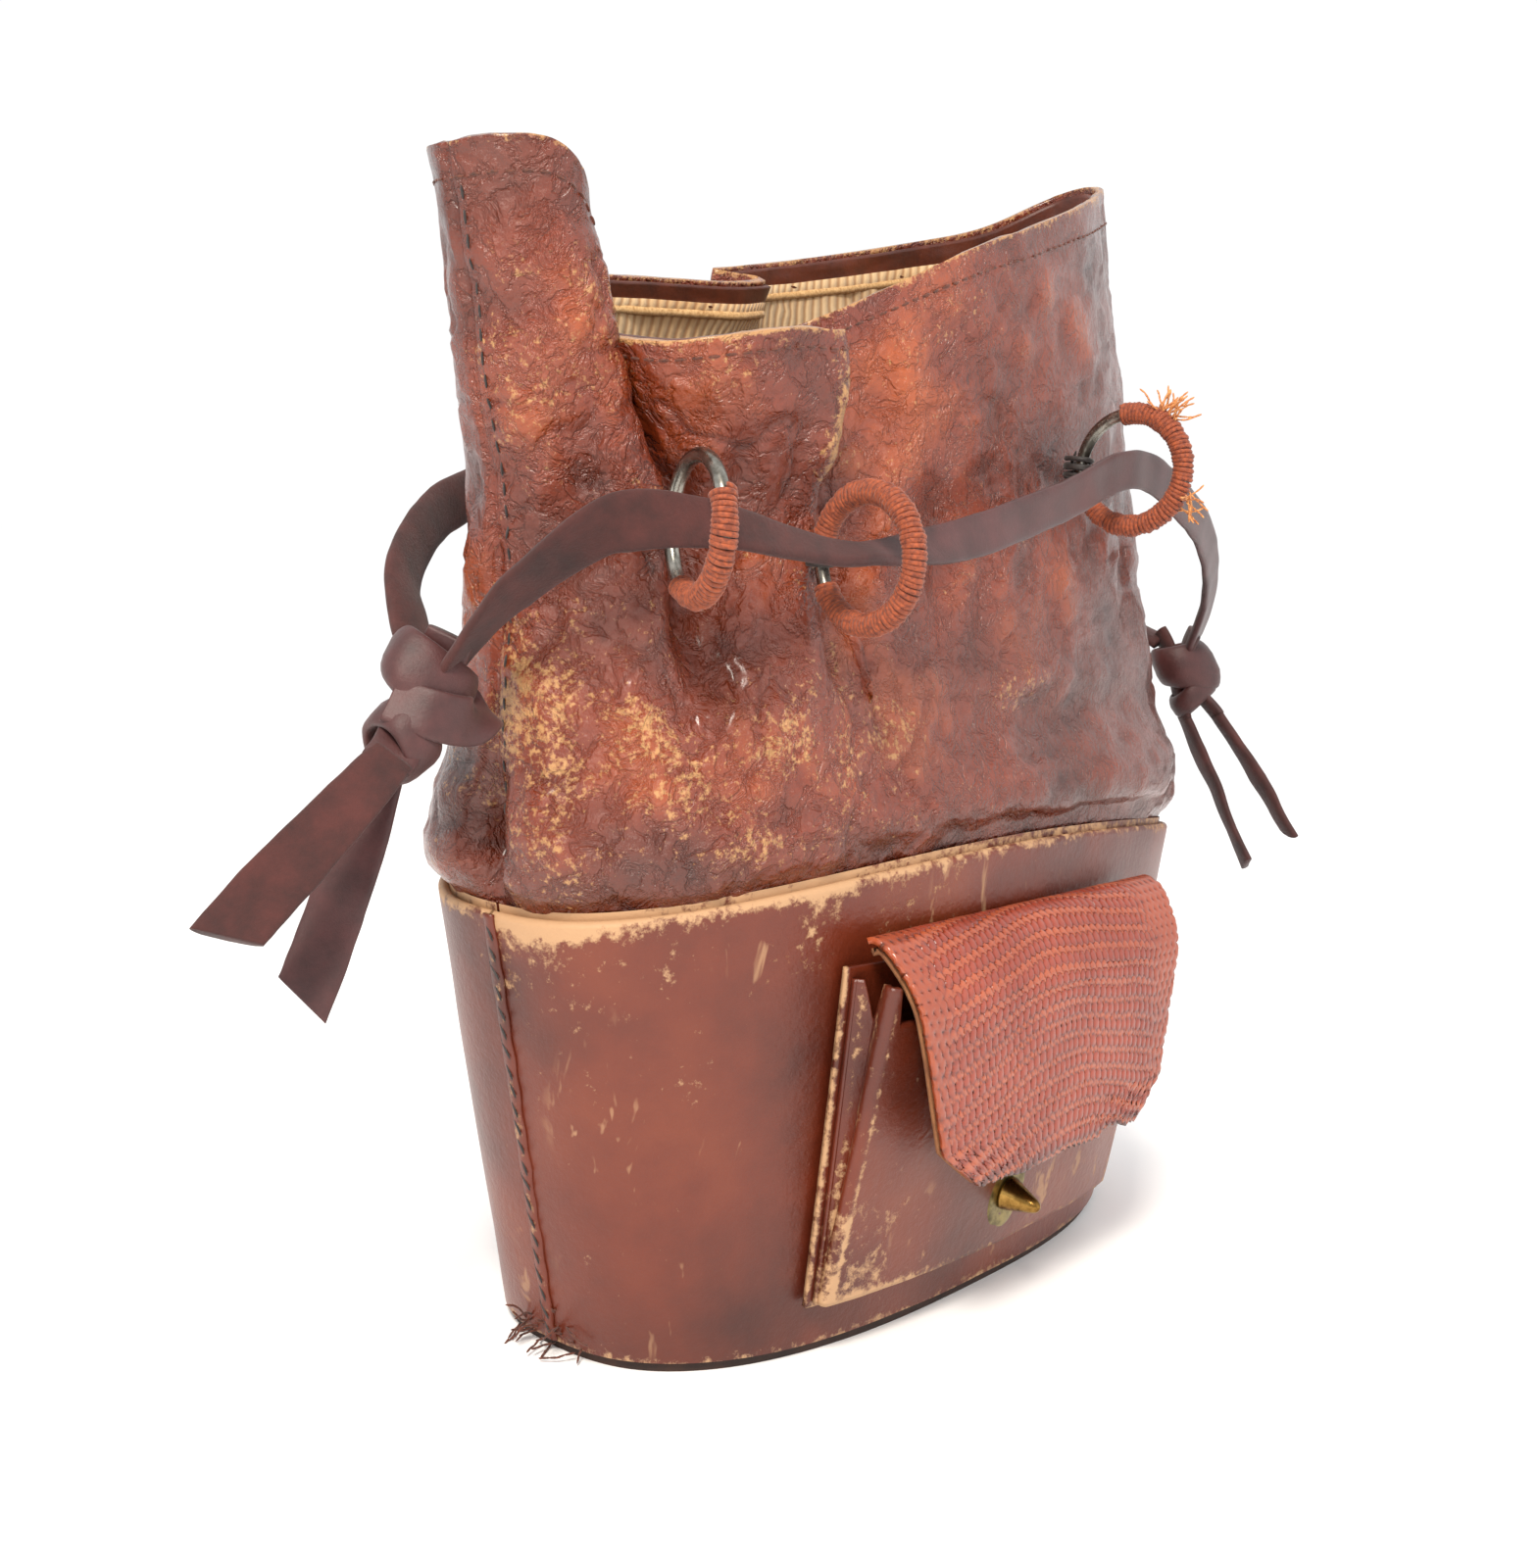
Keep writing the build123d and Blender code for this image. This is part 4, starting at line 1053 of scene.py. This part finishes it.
# loose ends: points from the knot to the cut end, turns, width shares, share of the smooth side, faces, cut
tailFacts = {"left_tail_front": ([(-124.6, -4.5, 112.2), (-133, -5.2, 106), (-142, -4.9, 98.5),
                                  (-149, -4.3, 92.2), (-154, -4.4, 87.8)], [0, 0, 4, 0, -6],
                                 [0.72, 0.92, 1.0, 1.06, 1.05], 0.0, (-0.76, -0.63, 0.14), 2.0),
             "left_tail_rear": ([(-120.1, 4.1, 107.6), (-124, 3.4, 99), (-127, 3.6, 91), (-130, 4.2, 83),
                                 (-134.4, 4.4, 73.5)], [10, 0, -8, 0, 8], [0.75, 0.9, 0.95, 1.0, 1.0], 0.9,
                                (-0.76, -0.63, 0.14), -2.2),
             "right_tail_front": ([(112.2, -25, 110.0), (114.8, -29.5, 103), (117.5, -34.5, 95),
                                   (119.5, -38.5, 88.5), (121.5, -42, 82.5)], [0, 0, 8, 0, 0],
                                  [0.75, 0.85, 0.9, 0.95, 0.95], 0.3, (0.63, -0.77, 0), 1.5),
             "right_tail_rear": ([(109.3, -17.6, 109.0), (111.5, -21, 101), (113.5, -25.5, 92),
                                  (115.5, -30, 82), (117.2, -33.8, 73.5)], [0, 6, 0, -6, 0],
                                 [0.75, 0.85, 0.9, 0.95, 0.95], 0.5, (0.63, -0.77, 0), -1.5)}
for index, (key, (points, spins, wides, smooth, faces, cut)) in enumerate(tailFacts.items()):
    bm = ribbon(points, spins, wides, 70, faces=faces, smoothSide=[smooth] * 5, seed=10.0 + index,
                pointed=cut)
    finishPiece(key + "Strip", bm, key, (key,), laceHide)
print("laces, knots and loose ends")


# pocket: a back patch, and a front that folds in at both sides like bellows
pocketFacts = {"shift": -3.0, "half": 48.0, "low": 12.0, "high": 73.0, "frontHigh": 66.0, "depthLow": 2.8,
               "depthHigh": 10.0, "leather": 1.2}


def makePocketBack():
    def place(u, v):
        x = pocketFacts["shift"] + (u - 0.5) * 2 * (pocketFacts["half"] + 2.0)
        z = 11.0 + v * 64.0
        y = basePoint(x, z, 1.4)
        points = np.column_stack([x, y, z])
        edge = np.minimum(np.minimum(u, 1 - u) * 100, v * 64)
        return points, {"wear": 0.18 + 0.30 * np.clip(1 - edge / 1.6, 0, 1) + 0.06 * noiseAt(points, 8, 2.0)}

    bm = gridMesh(120, 50, place, layers=("wear",))
    outwards(bm)
    piece = finishPiece("pocketBackPatch", bm, "bag", ("pocket_back",), cowhide)
    solidify(piece, pocketFacts["leather"] - 0.05)


def makePocketFront():
    # x from the pocket's middle as a share of half, and depth as a share between the patch and the front
    section = [(1.022, 0.0), (1.006, 0.0), (0.985, 0.16), (0.950, 0.42), (0.958, 0.58), (0.992, 0.86),
               (1.0, 0.96), (0.990, 1.0), (0.94, 1.0), (0.8, 1.0), (0.6, 1.0), (0.4, 1.0), (0.2, 1.0)]
    whole = [(-x, d) for x, d in section] + [(0.0, 1.0)] + [(x, d) for x, d in reversed(section)]
    whole = np.array(whole)

    def place(u, v):
        at = u * (len(whole) - 1)
        shape = loopThrough(whole, at, closed=False)
        side = np.clip((np.abs(shape[:, 0]) - 0.955) / 0.03, 0, 1)
        top = pocketFacts["frontHigh"] + (pocketFacts["high"] - pocketFacts["frontHigh"]) * side
        z = pocketFacts["low"] + v * (top - pocketFacts["low"])
        share = (z - pocketFacts["low"]) / (pocketFacts["high"] - pocketFacts["low"])
        depth = pocketFacts["depthLow"] + share * (pocketFacts["depthHigh"] - pocketFacts["depthLow"]) + 1.2
        near = 2.7
        out = near + shape[:, 1] * (depth - near)
        x = pocketFacts["shift"] + shape[:, 0] * pocketFacts["half"]
        points = np.column_stack([x, basePoint(x, z) - out, z])
        points[:, 1] -= 0.35 * noiseAt(points, 22, 6.0) * np.clip(shape[:, 1], 0, 1)
        points[:, 2] += 0.25 * noiseAt(points * np.array([1, 1, 0]), 9, 8.0) * (v < 0.02)
        corner = sum(np.clip(1 - np.abs(shape[:, 0] - edge) / 0.02, 0, 1) for edge in (-0.985, 0.985))
        low = np.clip(1 - (z - pocketFacts["low"]) / 2.2, 0, 1)
        leftLow = np.clip((-shape[:, 0] - 0.3) / 0.6, 0, 1) * np.clip((45 - z) / 30, 0, 1)
        wear = 0.19 + 0.20 * corner + 0.20 * low + 0.22 * leftLow + 0.07 * noiseAt(points, 9, 3.3, 2)
        return points, {"wear": wear}

    bm = gridMesh(300, 70, place, layers=("wear",))
    outwards(bm)
    piece = finishPiece("pocketFrontPanel", bm, "bag", ("pocket_front", "pocket_gusset"),
                        cowhide)
    solidify(piece, pocketFacts["leather"])


makePocketBack()
makePocketFront()
print("pocket")


# flap: lizard-embossed leather over a plain lining, bent down from its hinge
flapFacts = {"shift": -3.0, "halfTop": 48.5, "halfCorner": 39.0, "halfEnd": 28.5, "tipZ": 34.0,
             "cornerZ": 42.0, "hingeZ": 78.4, "scaleWide": 2.1, "scaleTall": 3.5, "deep": 0.55}
flapPath = np.array([(-43.9, 79.3), (-45.0, 79.5), (-47.3, 78.6), (-50.2, 75.4), (-52.6, 71.6),
                     (-53.9, 68.2), (-54.5, 62.0), (-55.1, 52.0), (-55.6, 43.0), (-56.1, 34.0)])


def flapHalf(z):
    return np.interp(z, [flapFacts[k] for k in ("tipZ", "cornerZ", "hingeZ")],
                     [flapFacts[k] for k in ("halfEnd", "halfCorner", "halfTop")])


# height of the embossed scales at x and run down the flap, and how much of it is the raised net
def scales(x, run):
    warp = np.column_stack([x, run, np.zeros(len(x))])
    sway = 1.3 * noiseAt(warp, 26, 3.0) + 3.2 * np.cos(x / 15.0) + 1.2 * np.sin(x / 27.0 + 0.8)
    tall = (run + sway) / flapFacts["scaleTall"]
    row = np.floor(tall)
    part = tall - row
    wide = (x + 0.9 * noiseAt(warp, 14, 7.0)) / flapFacts["scaleWide"] + 0.5 * np.mod(row, 2)
    cell = np.abs(wide - np.floor(wide) - 0.5) * 2
    zig = 0.14 + 0.30 * cell ** 1.5
    border = np.exp(-((part - zig) / 0.10) ** 2) + np.exp(-((part - zig - 1) / 0.10) ** 2)
    slit = np.clip((cell - 0.62) / 0.22, 0, 1) * np.clip((part - zig - 0.08) / 0.14, 0, 1)
    under = np.clip(1 - np.abs(part - zig - 0.17) / 0.10, 0, 1)
    dome = (1 - cell ** 2) * np.clip(1 - np.abs(part - zig - 0.5) * 1.1, 0, 1)
    long = 0.45 + 0.45 * dome - 0.75 * slit - 0.35 * under + 0.30 * border
    # small round pits at the sides
    hexRow = np.floor(run / 1.9)
    a = (x / 2.2 + 0.5 * np.mod(hexRow, 2))
    a = (a - np.floor(a) - 0.5) * 2.2
    b = (run / 1.9 - hexRow - 0.5) * 1.9
    far = np.hypot(a, b)
    pits = np.clip((far - 0.35) / 0.5, 0, 1)
    share = np.clip((np.abs(x + 2) - 33 + 3 * noiseAt(warp, 12, 9.0)) / 9, 0, 1)
    relief = long * (1 - share) + share * (0.15 + 0.6 * pits)
    net = np.clip(border * 0.9, 0, 1) * (1 - share) + share * 0.45 * pits
    return relief, net


def makeFlap():
    run = runAlong(flapPath)

    def placeLayer(shift, relieved):
        def place(u, v):
            at = v * (len(flapPath) - 1)
            curve = loopThrough(flapPath, at, closed=False)
            heading = headingAt(flapPath, at, 0.05)
            away = np.column_stack([heading[:, 1], -heading[:, 0]])
            along = between(at, run)
            half = flapHalf(curve[:, 1])
            low = np.clip(1 - (curve[:, 1] - flapFacts["tipZ"]) / 3.0, 0, 1)
            x = (u - 0.5) * 2 * (half - (0.7 if not relieved else 0.0))
            curve = curve + away * shift
            # the lower edge is cut unevenly, with a small step right of the middle
            step = np.clip((x - 14) / 2.0, 0, 1) * np.clip((24 - x) / 2.5, 0, 1)
            ragged = 0.15 * np.sin(x * 0.55) + 0.35 * np.sin(x * 0.21 + 1.0) + 1.6 * step
            curve[:, 1] += ragged * low * (1.0 if relieved else 0.9)
            relief, net = scales(x, along) if relieved else (np.zeros(len(x)), np.zeros(len(x)))
            relief = relief * (1 - 0.7 * low)
            rise = relief * flapFacts["deep"] * (1 - 0.5 * np.clip(1 - along / 6, 0, 1))
            sag = 0.5 * (x / 48) ** 2 + 0.25 * noiseAt(np.column_stack([x, along, along * 0]), 22, 5.0)
            y = curve[:, 0] + away[:, 0] * rise + sag * np.clip(along / 15, 0, 1)
            z = curve[:, 1] + away[:, 1] * rise
            rim = np.clip(1 - (half - np.abs(x)) / 0.9, 0, 1) + low * 0.4
            points = np.column_stack([x + flapFacts["shift"], y, z])
            return points, {"relief": relief, "net": np.clip(net + 0.25 * rim, 0, 1)}
        return place

    bm = gridMesh(290, 150, placeLayer(0.0, True), layers=("relief", "net"))
    outwards(bm)
    piece = finishPiece("pocketFlap", bm, "flap", ("pocket_flap",), lizard)
    solidify(piece, 1.15)
    bm = gridMesh(80, 50, placeLayer(-1.35, False))
    outwards(bm)
    piece = finishPiece("flapLining", bm, "flap", ("flap_lining",), fleshHide)
    solidify(piece, 0.75)


makeFlap()
print("flap")


# stud: an oval plate, and a knob turned to a rounded point
studFacts = {"plateX": 6.5, "plateZ": 8.5, "lean": 9.74}


def makeStud():
    centre = np.array(boxCentre("stud_plate"))
    lean = math.radians(studFacts["lean"])
    outward = np.array([0, -math.cos(lean), -math.sin(lean)])
    upward = np.array([0, -math.sin(lean), math.cos(lean)])
    level = np.array([1.0, 0, 0])
    plate = np.array([(0.20, -0.6), (0.20, 0.55), (0.55, 0.62), (0.86, 0.60), (0.95, 0.45), (1.0, 0.12),
                      (1.0, -0.45), (0.97, -0.6)])

    def placePlate(u, v):
        shape = loopThrough(plate, v * (len(plate) - 1), closed=False)
        angle = 2 * np.pi * u
        flat = level * (studFacts["plateX"] * shape[:, 0] * np.cos(angle))[:, None]
        flat = flat + upward * (studFacts["plateZ"] * shape[:, 0] * np.sin(angle))[:, None]
        points = centre + flat + outward * (shape[:, 1] + 0.06 * noiseAt(flat, 4, 2.0))[:, None]
        return points, {}

    bm = gridMesh(64, 28, placePlate, wrapU=True)
    closeEnds(bm)
    outwards(bm)
    finishPiece("studPlate", bm, "bag", ("stud_plate",), brass)
    knob = np.array([(0.01, -3.4), (1.2, -3.3), (1.2, 0.4), (3.1, 0.62), (3.45, 0.95), (3.3, 1.5),
                     (2.75, 3.2), (2.05, 5.3), (1.45, 7.1), (0.95, 7.95), (0.45, 8.3), (0.01, 8.4)])

    def placeKnob(u, v):
        shape = loopThrough(knob, v * (len(knob) - 1), closed=False)
        angle = 2 * np.pi * u
        ring = level * (shape[:, 0] * np.cos(angle))[:, None] + upward * (shape[:, 0] * np.sin(angle))[:,
                                                                                                       None]
        return centre + ring + outward * (shape[:, 1])[:, None], {}

    bm = gridMesh(48, 60, placeKnob, wrapU=True)
    outwards(bm)
    finishPiece("stud", bm, "bag", ("stud",), brassKnob)


makeStud()
print("stud")


# frayed ends where the left seam's thread comes out under the base
def makeFrayedSeam():
    rng = np.random.default_rng(5)
    bm = bmesh.new()
    for _ in range(26):
        root = np.array([-81.0 + rng.uniform(-1.5, 3), rng.uniform(-7, 9), rng.uniform(0.4, 6.5)])
        heading = np.array([-1.0, rng.uniform(-0.9, 0.9), rng.uniform(-0.35, 0.6)])
        for _ in range(4):
            heading = heading / np.linalg.norm(heading) + rng.uniform(-0.45, 0.45, 3)
            addStitch(bm, root + heading * 0.7, heading, 2.3, 0.22)
            root = root + heading / np.linalg.norm(heading) * 1.4
            root[2] = max(root[2], 0.4)
    finishPiece("frayedSeamThread", bm, "bag", (), brownThread)


makeFrayedSeam()
print("frayed thread")
